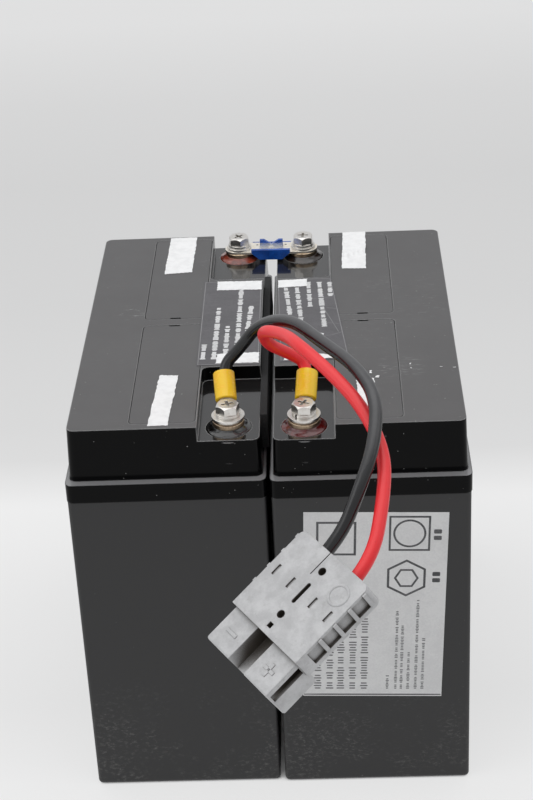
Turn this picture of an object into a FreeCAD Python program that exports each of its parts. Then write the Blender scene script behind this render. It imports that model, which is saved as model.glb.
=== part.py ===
import FreeCAD, Part
import math
import os

# UPS battery cartridge: two sealed lead-acid blocks in series, joined by a bolted strip fuse,
# with a two-pole lead. Millimetres. +X right, +Y to the rear, +Z up; the origin is the middle
# of the base. Each block is drawn in its own frame, where u runs towards the gap between them.

V = FreeCAD.Vector
UP = V(0, 0, 1)
ALONG = V(0, 1, 0)
TAU = 2.0 * math.pi

# ---- blocks
block_width = 76.2
block_length = 181.0
block_height = 167.0
block_gap = 1.2
block_stagger = 0.87
block_pitch = block_width + block_gap

# ---- case
case_inset = 0.4
case_wall = 2.5
case_floor = 3.0
lid_height = 29.35
case_corner = 1.6
case_base_round = 2.0
partition_wall = 1.5
cell_count = 6
tongue_wall = 1.5
tongue_height = 3.8
tongue_root = 5.0
glue_gap = 0.15

# ---- lid
flange_height = 7.65
flange_corner = 3.0
lid_side_inset = 1.41
lid_side_draft = 0.73
lid_end_inset = 3.52
lid_end_draft = 0.51
lid_corner = 3.0
lid_wall = 2.6
lid_roof = 2.8
least_room = 3.0

# ---- terminal recesses
recess_width = 25.15
recess_depth = 6.0
recess_corner = 3.0
front_recess_length = 51.5
rear_recess_length = 50.0
recess_floor_wall = 2.8

# ---- vent troughs and their covers
cover_margin_u = 25.5
cover_recess_rib = 0.85
cover_thickness = 1.8
cover_corner = 2.0
cover_groove = 0.3
cover_sink = 0.05
cover_ledge = 1.2
front_cover_margin = 8.0
front_cover_end = -1.5
rear_cover_start = 4.5
rear_cover_margin = 7.5
pry_notch_width = 4.4
pry_notch_depth = 0.9
trough_depth = 12.0
trough_floor_wall = 2.7
nozzle_radius = 5.0
nozzle_bore = 2.5
nozzle_height = 6.5
cap_radius = 7.0
cap_roof = 1.5
cap_round = 0.6
cap_fit = 0.05
cap_lift = 0.6

# ---- plates, separators and straps in each cell
plate_foot = 4.0
plate_drop = 29.65
plate_side_gap = 2.0
positive_count = 4
stack_end_gap = 0.275
negative_thickness = 1.8
separator_thickness = 0.85
separator_overlap = 1.0
tab_width = 10.0
tab_height = 4.0
strap_thickness = 5.0
strap_width = 14.0
strap_from_post_u = 4.4
tombstone_thickness = 3.0
tombstone_height = 13.0
weld_radius = 4.0
weld_rise = 7.0

# ---- terminals
terminal_inset_u = 13.7
terminal_inset_y = 14.05
pillar_radius = 4.5
pillar_fit = 0.1
post_head_radius = 6.0
post_stand = 3.4
post_round = 0.3
boss_radius = 10.5
boss_height = 10.0
seal_radius = 8.75
seal_depth = 1.8
seal_crown = 1.9
seal_collar = 0.4
ring_height = 1.8
ring_radius = 6.3
tap_depth = 9.0

# ---- bolt stack
bolt_diameter = 5.0
bolt_length = 12.0
bolt_head_flats = 8.0
bolt_head_height = 3.5
bolt_cross_width = 1.1
bolt_cross_depth = 1.3
bolt_cross_length = 4.6
bolt_head_chamfer = 0.5
bolt_crown_inset = 0.2
bolt_tip_chamfer = 0.5
spring_washer_radius = 4.6
spring_washer_thickness = 1.2
spring_washer_split = 0.8
flat_washer_radius = 6.3
fuse_washer_radius = 5.3
flat_washer_thickness = 1.0
bolt_clearance = 0.3
lug_thickness = 1.0

# ---- lugs and their sleeves
lug_ring_radius = 5.2
lug_flat_length = 7.6
lug_neck_width = 5.4
lug_heel_reach = 1.5
lug_heel_thickness = 1.4
lug_barrel_start = (7.0, 4.1)
lug_barrel_rise = 38.0
lug_barrel_radius = 2.7
lug_barrel_length = 6.0
sleeve_length = 11.5
sleeve_radius = 4.1
sleeve_mouth = 0.5
sleeve_fit = 0.1
black_lug_turn = 96.0
red_lug_turn = 84.0

# ---- cables, as centre-line points
cable_diameter = 4.6
black_route = [
    (-15.53, -64.35, 172.19), (-16.2, -57.7, 177.4), (-9.5, -59.0, 185.0), (-1.5, -62.5, 197.5),
    (11.0, -84.0, 210.0), (23.0, -108.0, 211.5), (33.0, -126.0, 212.5), (40.0, -143.5, 209.5),
    (38.5, -158.0, 199.5), (33.0, -167.5, 188.0), (26.27, -173.06, 173.04),
    (18.37, -177.9, 167.11),
]
red_route = [
    (15.53, -65.22, 172.19), (16.2, -58.2, 177.7), (9.2, -60.0, 183.2), (1.5, -68.0, 191.5),
    (0.0, -80.0, 203.5), (8.5, -95.0, 209.5), (14.5, -113.5, 214.0), (25.0, -127.5, 210.5),
    (35.0, -140.5, 204.5), (42.0, -154.0, 194.5), (41.0, -168.5, 185.5), (36.35, -185.72, 171.82),
    (27.73, -191.0, 165.35),
]

# ---- strip fuse between the rear terminals
fuse_end_reach = 6.2
fuse_width = 10.6
fuse_end_round = 5.0
fuse_slot_width = 5.4
fuse_slot_length = 7.0
fuse_neck_width = 3.0
fuse_neck_length = 5.0
fuse_hole_radius = 0.5
fuse_hole_spacing_x = 12.8
fuse_hole_spacing_y = 5.7
fuse_pellet_radius = 1.3
fuse_pellet_height = 0.5
fuse_body_clear = 5.7
fuse_body_side = 0.9
fuse_body_wall = 1.6
fuse_body_below = 2.2
fuse_body_foot = 10.2
fuse_lip = 1.4
fuse_room_length = 6.8
fuse_room_depth = 1.2
fuse_upright_length = 10.2
fuse_upright_height = 2.7
fuse_upright_thickness = 1.6
fuse_upright_clear = 0.2
fuse_notch_width = 6.4
fuse_notch_depth = 2.2
fuse_window_length = 9.8
fuse_window_thickness = 0.8

# ---- two-pole connector, in its own frame: x towards the mating end, z out of its top face
plug_at = V(24.7, -184.2, 173.1)
plug_yaw = -148.5
plug_pitch = 32.6
plug_roll = -7.4
shell_length = 33.6
shell_width = 35.8
shell_thickness = 10.0
shell_corner = 2.4
nose_length = 14.1
nose_width = 33.8
nose_step = 2.1
nose_bottom = 16.0
nose_wall = 1.2
nose_roof = 2.0
nose_round = 0.8
pole_offset = 8.1
pole_depth = 5.0
barrel_bore = 3.9
barrel_fit = 0.3
barrel_length = 12.0
barrel_start = 5.0
blade_offset = 10.4
blade_width = 8.0
blade_thickness = 1.6
blade_end_gap = 2.5
blade_tip_length = 4.0
blade_tip_drop = 0.8
blade_fit = 0.3
spring_gap = 0.2
spring_start_gap = 1.0
spring_end_gap = 8.0
spring_thickness = 0.5
spring_width = 6.0
rib_proud = 0.7
rib_width = 1.5
rib_spacing = 6.7
rib_first = 9.7
rib_count = 4
rib_top = 0.3
side_pocket_depth = 1.2
side_pocket_top = 1.2
side_pocket_bottom = 8.0
key_slot_width = 8.8
key_slot_depth = 7.2
side_slot_top = 4.3
side_slot_bottom = 7.9
side_slot_start = 0.4
side_slot_end = 0.9
hole_diameter = 2.9
hole_places = (6.4, 25.5)
hole_depth = 3.0
top_slot = (11.8, 20.3, 1.5)
square_place = 30.4
square_size = 1.9
slit_place = 15.9
slit_offsets = (6.1, 14.2)
slit_size = (4.2, 1.1)
slit_depth = 0.6
seam_offset = -2.8
seam_length = 9.5
seam_width = 0.35
seam_depth = 0.5

# ---- labels, tape and foam
label_thickness = 0.15
tape_thickness = 0.1
label_front_margin = 1.5
label_rear_margin = 1.7
left_label_x = (-28.0, -3.2)
right_label_front_x = (5.0, 32.5)
right_label_rear_x = (3.2, 26.2)
right_label_front_step = 1.0
front_label_width = 55.2
front_label_height = 87.0
front_label_offset = 0.2
front_label_drop = 7.45
front_label_turn = 2.0
foam_pad_length = 40.0
foam_pad_height = 80.0
foam_pad_centre_y = 45.0
foam_pad_centre_z = 70.0
strip_front_margin = 20.5
strip_rear_margin = 38.5
strip_drop = 4.5
strip_height = 14.5
strip_thickness = 2.6

# ---- tape scraps: corners as x and the distance in from the block's front or rear end
rear_scraps = [
    [(-46.0, 42.3), (-34.0, 41.0), (-33.5, 4.5), (-45.2, 4.5)],
    [(31.0, 42.5), (41.5, 43.0), (42.3, 4.5), (32.2, 4.5)],
]
front_scraps = [
    [(-42.1, 45.9), (-34.6, 45.4), (-36.7, 6.3), (-44.2, 6.3)],
    [(34.5, 46.0), (41.8, 45.5), (43.0, 6.3), (35.4, 6.3)],
]
rear_label_scraps = [
    [(-22.4, 60.5), (-3.4, 61.0), (-3.4, 52.5), (-22.4, 52.1)],
    [(3.6, 60.0), (15.9, 59.0), (15.9, 52.1), (3.6, 52.9)],
]
front_label_scraps = [
    [(-20.5, 54.0), (-3.4, 54.0), (-3.4, 62.5), (-20.0, 62.0)],
    [(6.5, 54.9), (26.0, 55.7), (25.0, 64.5), (7.0, 63.0)],
]

# ---- how far a cutting shape runs past what it cuts
over = 1.0

# ---- values worked out from the ones above
half_width = block_width / 2.0
half_length = block_length / 2.0
case_half_u = half_width - case_inset
case_half_y = half_length - case_inset
inner_half_u = case_half_u - case_wall
inner_half_y = case_half_y - case_wall
cell_length = (2.0 * inner_half_y - (cell_count - 1) * partition_wall) / cell_count
cell_pitch = cell_length + partition_wall
case_rim_z = block_height - lid_height
flange_top_z = case_rim_z + flange_height
tongue_top_z = case_rim_z + tongue_height
recess_floor_z = block_height - recess_depth
recess_wall_u = half_width - recess_width
front_recess_end = front_recess_length - half_length
rear_recess_end = half_length - rear_recess_length
cover_from_u = cover_margin_u - half_width
cover_to_u = recess_wall_u - cover_recess_rib
front_cover_y = (front_cover_margin - half_length, front_cover_end)
rear_cover_y = (rear_cover_start, half_length - rear_cover_margin)
trough_floor_z = block_height - trough_depth
nozzle_top_z = trough_floor_z + nozzle_height
plate_top_z = case_rim_z - plate_drop
tab_top_z = plate_top_z + tab_height
strap_top_z = tab_top_z + strap_thickness
tombstone_top_z = strap_top_z + tombstone_height
weld_z = strap_top_z + weld_rise
terminal_u = half_width - terminal_inset_u
terminal_x = block_pitch / 2.0 - terminal_u
terminal_y = half_length - terminal_inset_y
strap_offset_u = terminal_u - strap_from_post_u
boss_bottom_z = recess_floor_z - boss_height
post_top_z = recess_floor_z + post_stand
washer_z = post_top_z + lug_thickness
spring_z = washer_z + flat_washer_thickness
head_z = spring_z + spring_washer_thickness
negative_count = positive_count + 1
stack_length = cell_length - 2.0 * stack_end_gap
positive_thickness = (stack_length - negative_count * negative_thickness
                      - 2 * positive_count * separator_thickness) / positive_count


def box(x0, x1, y0, y1, z0, z1):
    low = V(min(x0, x1), min(y0, y1), min(z0, z1))
    return Part.makeBox(abs(x1 - x0), abs(y1 - y0), abs(z1 - z0), low)


def cylinder(radius, z0, z1, x=0.0, y=0.0):
    return Part.makeCylinder(radius, z1 - z0, V(x, y, z0), UP)


def rounded_wire(half_x, half_y, radius, z, x=0.0, y=0.0):
    """Closed rectangle with round corners, centred on x, y at height z."""
    corners = [(1, 1, 0), (-1, 1, 90), (-1, -1, 180), (1, -1, 270)]
    edges = []
    last = None
    first = None
    for sx, sy, start in corners:
        centre = V(x + sx * (half_x - radius), y + sy * (half_y - radius), z)
        arc = Part.makeCircle(radius, centre, UP, start, start + 90)
        begin = arc.valueAt(arc.FirstParameter)
        if last is None:
            first = begin
        else:
            edges.append(Part.makeLine(last, begin))
        edges.append(arc)
        last = arc.valueAt(arc.LastParameter)
    edges.append(Part.makeLine(last, first))
    return Part.Wire(edges)


def rounded_block(half_x, half_y, radius, z0, z1, x=0.0, y=0.0):
    face = Part.Face(rounded_wire(half_x, half_y, radius, z0, x, y))
    return face.extrude(V(0, 0, z1 - z0))


def rounded_plate(u0, u1, y0, y1, radius, z0, z1):
    return rounded_block((u1 - u0) / 2.0, (y1 - y0) / 2.0, radius, z0, z1,
                         (u0 + u1) / 2.0, (y0 + y1) / 2.0)


def prism(points, direction):
    """Polygon through 3-D points, pushed along a direction."""
    closed = [V(*p) for p in points] + [V(*points[0])]
    return Part.Face(Part.makePolygon(closed)).extrude(direction)


def fuse_all(shapes):
    whole = shapes[0]
    for shape in shapes[1:]:
        whole = whole.fuse(shape)
    return whole.removeSplitter()


def cut_all(whole, tools):
    return whole.cut(tools).removeSplitter()


def save(name, shape):
    shape.exportStep("parts/%s.step" % name)
    print("%-24s solids %3d  volume %10.1f" % (name, len(shape.Solids), shape.Volume))


def place_in_block(shape, side):
    """Moves a shape from a block's own frame: side -1 is the left block, +1 the right one."""
    placed = shape.copy()
    if side > 0:
        placed = placed.mirror(V(0, 0, 0), V(1, 0, 0))
    placed.translate(V(side * block_pitch / 2.0, -side * block_stagger / 2.0, 0))
    return placed


def terminal_places():
    """Middle of each of the four terminals in the shared frame, with its side and end."""
    places = []
    for side in (-1, 1):
        for end in (-1, 1):
            x = side * terminal_x
            places.append((side, end, x, end * terminal_y - side * block_stagger / 2.0))
    return places


def cell_middle(index):
    return (index - (cell_count - 1) / 2.0) * cell_pitch


def strap_side(index):
    """Side in u of a cell's front-polarity strap, which alternates from cell to cell."""
    return 1 if index % 2 == 0 else -1


# ---- one block

def make_case():
    body = rounded_block(case_half_u, case_half_y, case_corner, 0.0, case_rim_z)
    base_edges = [e for e in body.Edges if e.BoundBox.ZMax < 0.01]
    body = body.makeFillet(case_base_round, base_edges)
    shoulder = case_wall - tongue_wall
    tongue = box(-case_half_u + shoulder, case_half_u - shoulder,
                 -case_half_y + shoulder, case_half_y - shoulder, case_rim_z - tongue_root,
                 tongue_top_z)
    body = body.fuse(tongue)
    tools = []
    for index in range(cell_count):
        middle = cell_middle(index)
        tools.append(box(-inner_half_u, inner_half_u, middle - cell_length / 2.0,
                         middle + cell_length / 2.0, case_floor, tongue_top_z + over))
    for index in range(cell_count - 1):
        wall_y = cell_middle(index) + cell_length / 2.0
        at = V(-strap_side(index) * strap_offset_u, wall_y - over, weld_z)
        tools.append(Part.makeCylinder(weld_radius, partition_wall + 2.0 * over, at, ALONG))
    return cut_all(body, tools)


def lid_top_half(z):
    """Half sizes of the lid's upper box at a height, with its draft."""
    rise = (z - flange_top_z) / (block_height - flange_top_z)
    half_u = half_width - lid_side_inset - lid_side_draft * rise
    half_y = half_length - lid_end_inset - lid_end_draft * rise
    return half_u, half_y


def make_lid():
    flange = rounded_block(half_width, half_length, flange_corner, case_rim_z, flange_top_z)
    low_u, low_y = lid_top_half(flange_top_z)
    top_u, top_y = lid_top_half(block_height)
    upper = Part.makeLoft([rounded_wire(low_u, low_y, lid_corner, flange_top_z),
                           rounded_wire(top_u, top_y, lid_corner, block_height)], True, True)
    body = flange.fuse(upper)

    tools = []
    recess_spans = [(-block_length, front_recess_end), (rear_recess_end, block_length)]
    for y0, y1 in recess_spans:
        middle_y = (y0 + y1) / 2.0
        half_y = (y1 - y0) / 2.0
        tools.append(rounded_block(half_width, half_y, recess_corner, recess_floor_z,
                                   block_height + over, recess_wall_u + half_width, middle_y))
    for y0, y1 in (front_cover_y, rear_cover_y):
        tools.append(rounded_plate(cover_from_u - cover_groove, cover_to_u + cover_groove,
                                   y0 - cover_groove, y1 + cover_groove,
                                   cover_corner + cover_groove,
                                   block_height - cover_thickness - cover_sink,
                                   block_height + over))
        tools.append(box(cover_from_u + cover_ledge, cover_to_u - cover_ledge,
                         y0 + cover_ledge, y1 - cover_ledge, trough_floor_z, block_height))
    skirt = case_wall - tongue_wall - glue_gap
    tools.append(box(-case_half_u + skirt, case_half_u - skirt, -case_half_y + skirt,
                     case_half_y - skirt, case_rim_z - over, tongue_top_z + glue_gap))
    tools += lid_cell_rooms()
    body = body.cut(tools)

    extras = []
    for end in (-1, 1):
        extras.append(cylinder(boss_radius, boss_bottom_z, recess_floor_z - over,
                               terminal_u, end * terminal_y))
    for index in range(cell_count):
        extras.append(cylinder(nozzle_radius, trough_floor_z - over, nozzle_top_z,
                               0.0, cell_middle(index)))
    body = body.fuse(extras)

    bores = []
    for end in (-1, 1):
        y = end * terminal_y
        bores.append(cylinder(pillar_radius + pillar_fit, boss_bottom_z - over,
                              recess_floor_z, terminal_u, y))
        bores.append(cylinder(seal_radius, recess_floor_z - seal_depth,
                              recess_floor_z + over, terminal_u, y))
        bores.append(cylinder(ring_radius, recess_floor_z - seal_depth - ring_height,
                              recess_floor_z, terminal_u, y))
    for index in range(cell_count):
        bores.append(cylinder(nozzle_bore, trough_floor_z - trough_floor_wall - over,
                              nozzle_top_z + over, 0.0, cell_middle(index)))
    return cut_all(body, bores)


def lid_cell_rooms():
    """Gas space over each cell, stepped under the troughs and the terminal recesses."""
    side_u = lid_top_half(block_height)[0] - lid_wall
    end_y = lid_top_half(block_height)[1] - lid_wall
    low_z = tongue_top_z + glue_gap
    trough_z = trough_floor_z - trough_floor_wall
    high_z = block_height - lid_roof
    recess_z = recess_floor_z - recess_floor_wall
    outer_u = cover_from_u - lid_wall
    inner_u = cover_to_u + lid_wall
    rooms = []
    for index in range(cell_count):
        y0 = max(cell_middle(index) - cell_length / 2.0, -end_y)
        y1 = min(cell_middle(index) + cell_length / 2.0, end_y)
        rooms.append(box(-side_u, side_u, y0, y1, low_z - over, trough_z))
        rooms.append(box(-side_u, outer_u, y0, y1, low_z, high_z))
        rooms.append(box(inner_u, side_u, y0, y1, low_z, recess_z))
        mid0 = max(y0, front_recess_end + lid_wall)
        mid1 = min(y1, rear_recess_end - lid_wall)
        if mid1 - mid0 > least_room:
            rooms.append(box(inner_u, side_u, mid0, mid1, low_z, high_z))
    return rooms


def make_vent_cover(y_span, notch_end):
    y0, y1 = y_span
    top = block_height - cover_sink
    plate = rounded_plate(cover_from_u, cover_to_u, y0, y1, cover_corner,
                          top - cover_thickness, top)
    edge_y = y1 if notch_end > 0 else y0
    notch = box(-pry_notch_width / 2.0, pry_notch_width / 2.0,
                edge_y - pry_notch_depth, edge_y + pry_notch_depth, top - over, top + over)
    return plate.cut(notch)


def make_valve_caps():
    caps = []
    top = block_height - cover_sink - cover_thickness - cap_fit
    for index in range(cell_count):
        y = cell_middle(index)
        cap = cylinder(cap_radius, trough_floor_z + cap_lift, top, 0.0, y)
        cap = cap.cut(cylinder(nozzle_radius + cap_fit, trough_floor_z, nozzle_top_z + cap_fit,
                               0.0, y))
        rim = [e for e in cap.Edges if e.BoundBox.ZMin > top - 0.01]
        caps.append(cap.makeFillet(cap_round, rim))
    return Part.makeCompound(caps)


def plate_positions(index):
    """Front face of each negative and positive plate, and of each separator, in one cell."""
    y = cell_middle(index) - stack_length / 2.0
    negatives = []
    positives = []
    separators = []
    for number in range(2 * positive_count + 1):
        if number % 2 == 0:
            negatives.append(y)
            y += negative_thickness
        else:
            positives.append(y)
            y += positive_thickness
        if number < 2 * positive_count:
            separators.append(y)
            y += separator_thickness
    return negatives, positives, separators


def make_plate_group(polarity, front_polarity):
    """Every plate of one polarity in the block, each with its tab."""
    plates = []
    half_u = inner_half_u - plate_side_gap
    thickness = positive_thickness if polarity == "positive" else negative_thickness
    for index in range(cell_count):
        negatives, positives, _ = plate_positions(index)
        rows = positives if polarity == "positive" else negatives
        tab_side = strap_side(index) if polarity == front_polarity else -strap_side(index)
        tab_u = tab_side * strap_offset_u
        for y in rows:
            plate = box(-half_u, half_u, y, y + thickness, plate_foot, plate_top_z)
            tab = box(tab_u - tab_width / 2.0, tab_u + tab_width / 2.0, y, y + thickness,
                      plate_top_z, tab_top_z)
            plates.append(plate.fuse(tab).removeSplitter())
    return Part.makeCompound(plates)


def make_separators():
    sheets = []
    half_u = inner_half_u - plate_side_gap + separator_overlap
    for index in range(cell_count):
        for y in plate_positions(index)[2]:
            sheets.append(box(-half_u, half_u, y, y + separator_thickness,
                              case_floor, plate_top_z + separator_overlap))
    return Part.makeCompound(sheets)


def make_straps():
    """End straps under the two posts, and one strap through each partition."""
    straps = []
    for index in range(cell_count):
        for role in (1, -1):
            straps.append(strap_in_cell(index, role))
    joined = []
    for index in range(cell_count - 1):
        wall_y = cell_middle(index) + cell_length / 2.0
        at = V(-strap_side(index) * strap_offset_u, wall_y, weld_z)
        weld = Part.makeCylinder(weld_radius, partition_wall, at, ALONG)
        rear_role = straps[2 * index + 1]
        front_role = straps[2 * (index + 1)]
        joined.append(fuse_all([rear_role, weld, front_role]))
    return Part.makeCompound([straps[0]] + joined + [straps[-1]])


def strap_in_cell(index, role):
    """Role +1 is the strap that faces the front of the block, -1 the one that faces the rear."""
    u = role * strap_side(index) * strap_offset_u
    middle = cell_middle(index)
    half_u = strap_width / 2.0
    front = middle - stack_length / 2.0
    rear = middle + stack_length / 2.0
    bar = box(u - half_u, u + half_u, front, rear, tab_top_z, strap_top_z)
    is_end = (index == 0 and role > 0) or (index == cell_count - 1 and role < 0)
    if is_end:
        return bar
    wall = middle - role * cell_length / 2.0
    stand = box(u - half_u, u + half_u, wall, wall + role * tombstone_thickness,
                tab_top_z, tombstone_top_z)
    return fuse_all([bar, stand])


def make_post(end):
    y = end * terminal_y
    pillar = cylinder(pillar_radius, strap_top_z, recess_floor_z - seal_depth, terminal_u, y)
    head = cylinder(post_head_radius, recess_floor_z - seal_depth, post_top_z, terminal_u, y)
    post = fuse_all([pillar, head])
    rim = [e for e in post.Edges if e.BoundBox.ZMin > post_top_z - 0.01]
    post = post.makeFillet(post_round, rim)
    tap = cylinder(bolt_diameter / 2.0, post_top_z - tap_depth, post_top_z + over, terminal_u, y)
    return post.cut(tap)


def make_seal(end):
    y = end * terminal_y
    seal = cylinder(seal_radius, recess_floor_z - seal_depth, recess_floor_z, terminal_u, y)
    crown = Part.makeCone(seal_radius, post_head_radius + seal_collar, seal_crown,
                          V(terminal_u, y, recess_floor_z), UP)
    hole = cylinder(post_head_radius, recess_floor_z - seal_depth - over, post_top_z,
                    terminal_u, y)
    return seal.fuse(crown).cut(hole).removeSplitter()


def make_ring_seal(end):
    y = end * terminal_y
    z0 = recess_floor_z - seal_depth - ring_height
    ring = cylinder(ring_radius, z0, z0 + ring_height, terminal_u, y)
    return ring.cut(cylinder(pillar_radius, z0 - over, z0 + ring_height + over, terminal_u, y))


def build_block(side, front_polarity):
    name = "left" if side < 0 else "right"
    rear_polarity = "negative" if front_polarity == "positive" else "positive"
    save("%s_case" % name, place_in_block(make_case(), side))
    save("%s_lid" % name, place_in_block(make_lid(), side))
    save("%s_vent_cover_front" % name, place_in_block(make_vent_cover(front_cover_y, 1), side))
    save("%s_vent_cover_rear" % name, place_in_block(make_vent_cover(rear_cover_y, -1), side))
    save("%s_valve_caps" % name, place_in_block(make_valve_caps(), side))
    for polarity in ("positive", "negative"):
        plates = make_plate_group(polarity, front_polarity)
        save("%s_%s_plates" % (name, polarity), place_in_block(plates, side))
    save("%s_separators" % name, place_in_block(make_separators(), side))
    save("%s_cell_straps" % name, place_in_block(make_straps(), side))
    for end, polarity in ((-1, front_polarity), (1, rear_polarity)):
        save("%s_post_%s" % (name, polarity), place_in_block(make_post(end), side))
        save("%s_seal_%s" % (name, polarity), place_in_block(make_seal(end), side))


def build_post_rings():
    rings = [place_in_block(make_ring_seal(end), side) for side in (-1, 1) for end in (-1, 1)]
    save("post_o_rings", Part.makeCompound(rings))


# ---- bolt stack

def hexagon_head():
    across = bolt_head_flats / math.cos(math.pi / 6.0)
    points = []
    for corner in range(6):
        angle = corner * TAU / 6.0
        points.append((across / 2.0 * math.cos(angle), across / 2.0 * math.sin(angle), 0.0))
    head = prism(points, V(0, 0, bolt_head_height))
    crown = Part.makeCone(across / 2.0 + bolt_head_height - bolt_head_chamfer,
                          bolt_head_flats / 2.0 - bolt_crown_inset, bolt_head_height)
    head = head.common(crown)
    for turn in (0, 90):
        bar = box(-bolt_cross_length / 2.0, bolt_cross_length / 2.0, -bolt_cross_width / 2.0,
                  bolt_cross_width / 2.0, bolt_head_height - bolt_cross_depth,
                  bolt_head_height + over)
        bar.rotate(V(0, 0, 0), UP, turn)
        head = head.cut(bar)
    return head


def make_bolt(x, y, turn):
    head = hexagon_head()
    head.rotate(V(0, 0, 0), UP, turn)
    head.translate(V(x, y, head_z))
    shank = cylinder(bolt_diameter / 2.0, head_z - bolt_length, head_z, x, y)
    tip = [e for e in shank.Edges if e.BoundBox.ZMax < head_z - bolt_length + 0.01]
    return fuse_all([head, shank.makeChamfer(bolt_tip_chamfer, tip)])


def make_washer(radius, thickness, z, x, y):
    washer = cylinder(radius, z, z + thickness, x, y)
    return washer.cut(cylinder(bolt_diameter / 2.0 + bolt_clearance, z - over,
                               z + thickness + over, x, y))


def make_spring_washer(x, y, turn):
    washer = make_washer(spring_washer_radius, spring_washer_thickness, spring_z, x, y)
    split = box(0.0, spring_washer_radius + over, -spring_washer_split / 2.0,
                spring_washer_split / 2.0, -over, spring_washer_thickness + over)
    split.rotate(V(0, 0, 0), UP, turn)
    split.translate(V(x, y, spring_z))
    return washer.cut(split)


def build_bolt_stacks():
    bolts = []
    springs = []
    flats = []
    for number, (side, end, x, y) in enumerate(terminal_places()):
        bolts.append(make_bolt(x, y, 17.0 + 23.0 * number))
        springs.append(make_spring_washer(x, y, 40.0 + 95.0 * number))
        radius = flat_washer_radius if end < 0 else fuse_washer_radius
        flats.append(make_washer(radius, flat_washer_thickness, washer_z, x, y))
    save("terminal_bolts", Part.makeCompound(bolts))
    save("spring_washers", Part.makeCompound(springs))
    save("flat_washers", Part.makeCompound(flats))


# ---- ring lugs: drawn along +X from the bolt hole, then turned and put on their post

def lug_frame(shape, side, turn):
    x = side * terminal_x
    y = -terminal_y - side * block_stagger / 2.0
    shape.rotate(V(0, 0, 0), UP, turn)
    shape.translate(V(x, y, post_top_z))
    return shape


def barrel_axis():
    rise = math.radians(lug_barrel_rise)
    return V(math.cos(rise), 0, math.sin(rise))


def barrel_origin():
    return V(lug_barrel_start[0], 0, lug_barrel_start[1])


def make_lug():
    ring = cylinder(lug_ring_radius, 0.0, lug_thickness)
    half = lug_neck_width / 2.0
    toe = lug_flat_length
    start = barrel_origin()
    axis = barrel_axis()
    heel = start + axis * lug_heel_reach
    drop = V(axis.z, 0, -axis.x) * lug_barrel_radius
    low = heel + drop
    high = low - V(axis.z, 0, -axis.x) * lug_heel_thickness
    middle = lug_ring_radius / 2.0 + bolt_diameter / 4.0
    side_view = [(middle, -half, 0.0), (toe, -half, 0.0), (low.x, -half, low.z),
                 (high.x, -half, high.z), (toe - lug_thickness, -half, lug_thickness),
                 (middle, -half, lug_thickness)]
    neck = prism(side_view, V(0, lug_neck_width, 0))
    barrel = Part.makeCylinder(lug_barrel_radius, lug_barrel_length, start, axis)
    lug = fuse_all([ring, neck, barrel])
    hole = cylinder(bolt_diameter / 2.0 + bolt_clearance, -over, lug_thickness + over)
    return lug.cut(hole)


def make_sleeve():
    start = barrel_origin()
    axis = barrel_axis()
    outer = Part.makeCylinder(sleeve_radius, sleeve_length, start, axis)
    rim = [e for e in outer.Edges if e.Closed and len(e.Vertexes) == 1]
    outer = outer.makeFillet(sleeve_mouth, rim)
    bore = Part.makeCylinder(lug_barrel_radius, sleeve_length + 2.0 * over, start - axis * over, axis)
    return outer.cut(bore)


def build_lugs():
    for name, side, turn in (("black", -1, black_lug_turn), ("red", 1, red_lug_turn)):
        lug = lug_frame(make_lug(), side, turn)
        sleeve = lug_frame(make_sleeve(), side, turn).cut(lug)
        save("%s_lug" % name, lug)
        save("%s_lug_sleeve" % name, sleeve)


# ---- cables

def make_cable(points, diameter, name):
    """Round tube along straight runs joined by tangent arcs."""
    corners = [V(*p) for p in points]
    edges = []
    last = corners[0]
    for before, here, after in zip(corners, corners[1:], corners[2:]):
        into = (here - before)
        out = (after - here)
        short = min(into.Length, out.Length)
        turn = into.getAngle(out)
        reach = 0.45 * short
        radius = reach / math.tan(turn / 2.0)
        into.normalize()
        out.normalize()
        begin = here - into * reach
        finish = here + out * reach
        inward = out - into
        inward.normalize()
        middle = here + inward * (radius / math.cos(turn / 2.0) - radius)
        edges.append(Part.makeLine(last, begin))
        edges.append(Part.Arc(begin, middle, finish).toShape())
        last = finish
        print("%s bend radius %.1f" % (name, radius))
    edges.append(Part.makeLine(last, corners[-1]))
    path = Part.Wire(edges)
    start_way = corners[1] - corners[0]
    ring = Part.Wire([Part.makeCircle(diameter / 2.0, corners[0], start_way)])
    tube = path.makePipeShell([ring], True, False)
    expected = math.pi * (diameter / 2.0) ** 2 * path.Length
    print("%s length %.1f volume %.1f expected %.1f" % (name, path.Length, tube.Volume, expected))
    return tube


def build_cables():
    save("black_cable", make_cable(black_route, cable_diameter, "black_cable"))
    save("red_cable", make_cable(red_route, cable_diameter, "red_cable"))


# ---- strip fuse

def fuse_middle():
    left = terminal_places()[1]
    right = terminal_places()[3]
    return V((left[2] + right[2]) / 2.0, (left[3] + right[3]) / 2.0, post_top_z)


def fuse_frame(shape):
    left = terminal_places()[1]
    right = terminal_places()[3]
    turn = math.degrees(math.atan2(right[3] - left[3], right[2] - left[2]))
    shape.rotate(V(0, 0, 0), UP, turn)
    shape.translate(fuse_middle())
    return shape


def slot_tool(x, length, width, z0, z1):
    reach = (length - width) / 2.0
    parts = [cylinder(width / 2.0, z0, z1, x - reach), cylinder(width / 2.0, z0, z1, x + reach)]
    parts.append(box(x - reach, x + reach, -width / 2.0, width / 2.0, z0, z1))
    return fuse_all(parts)


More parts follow.
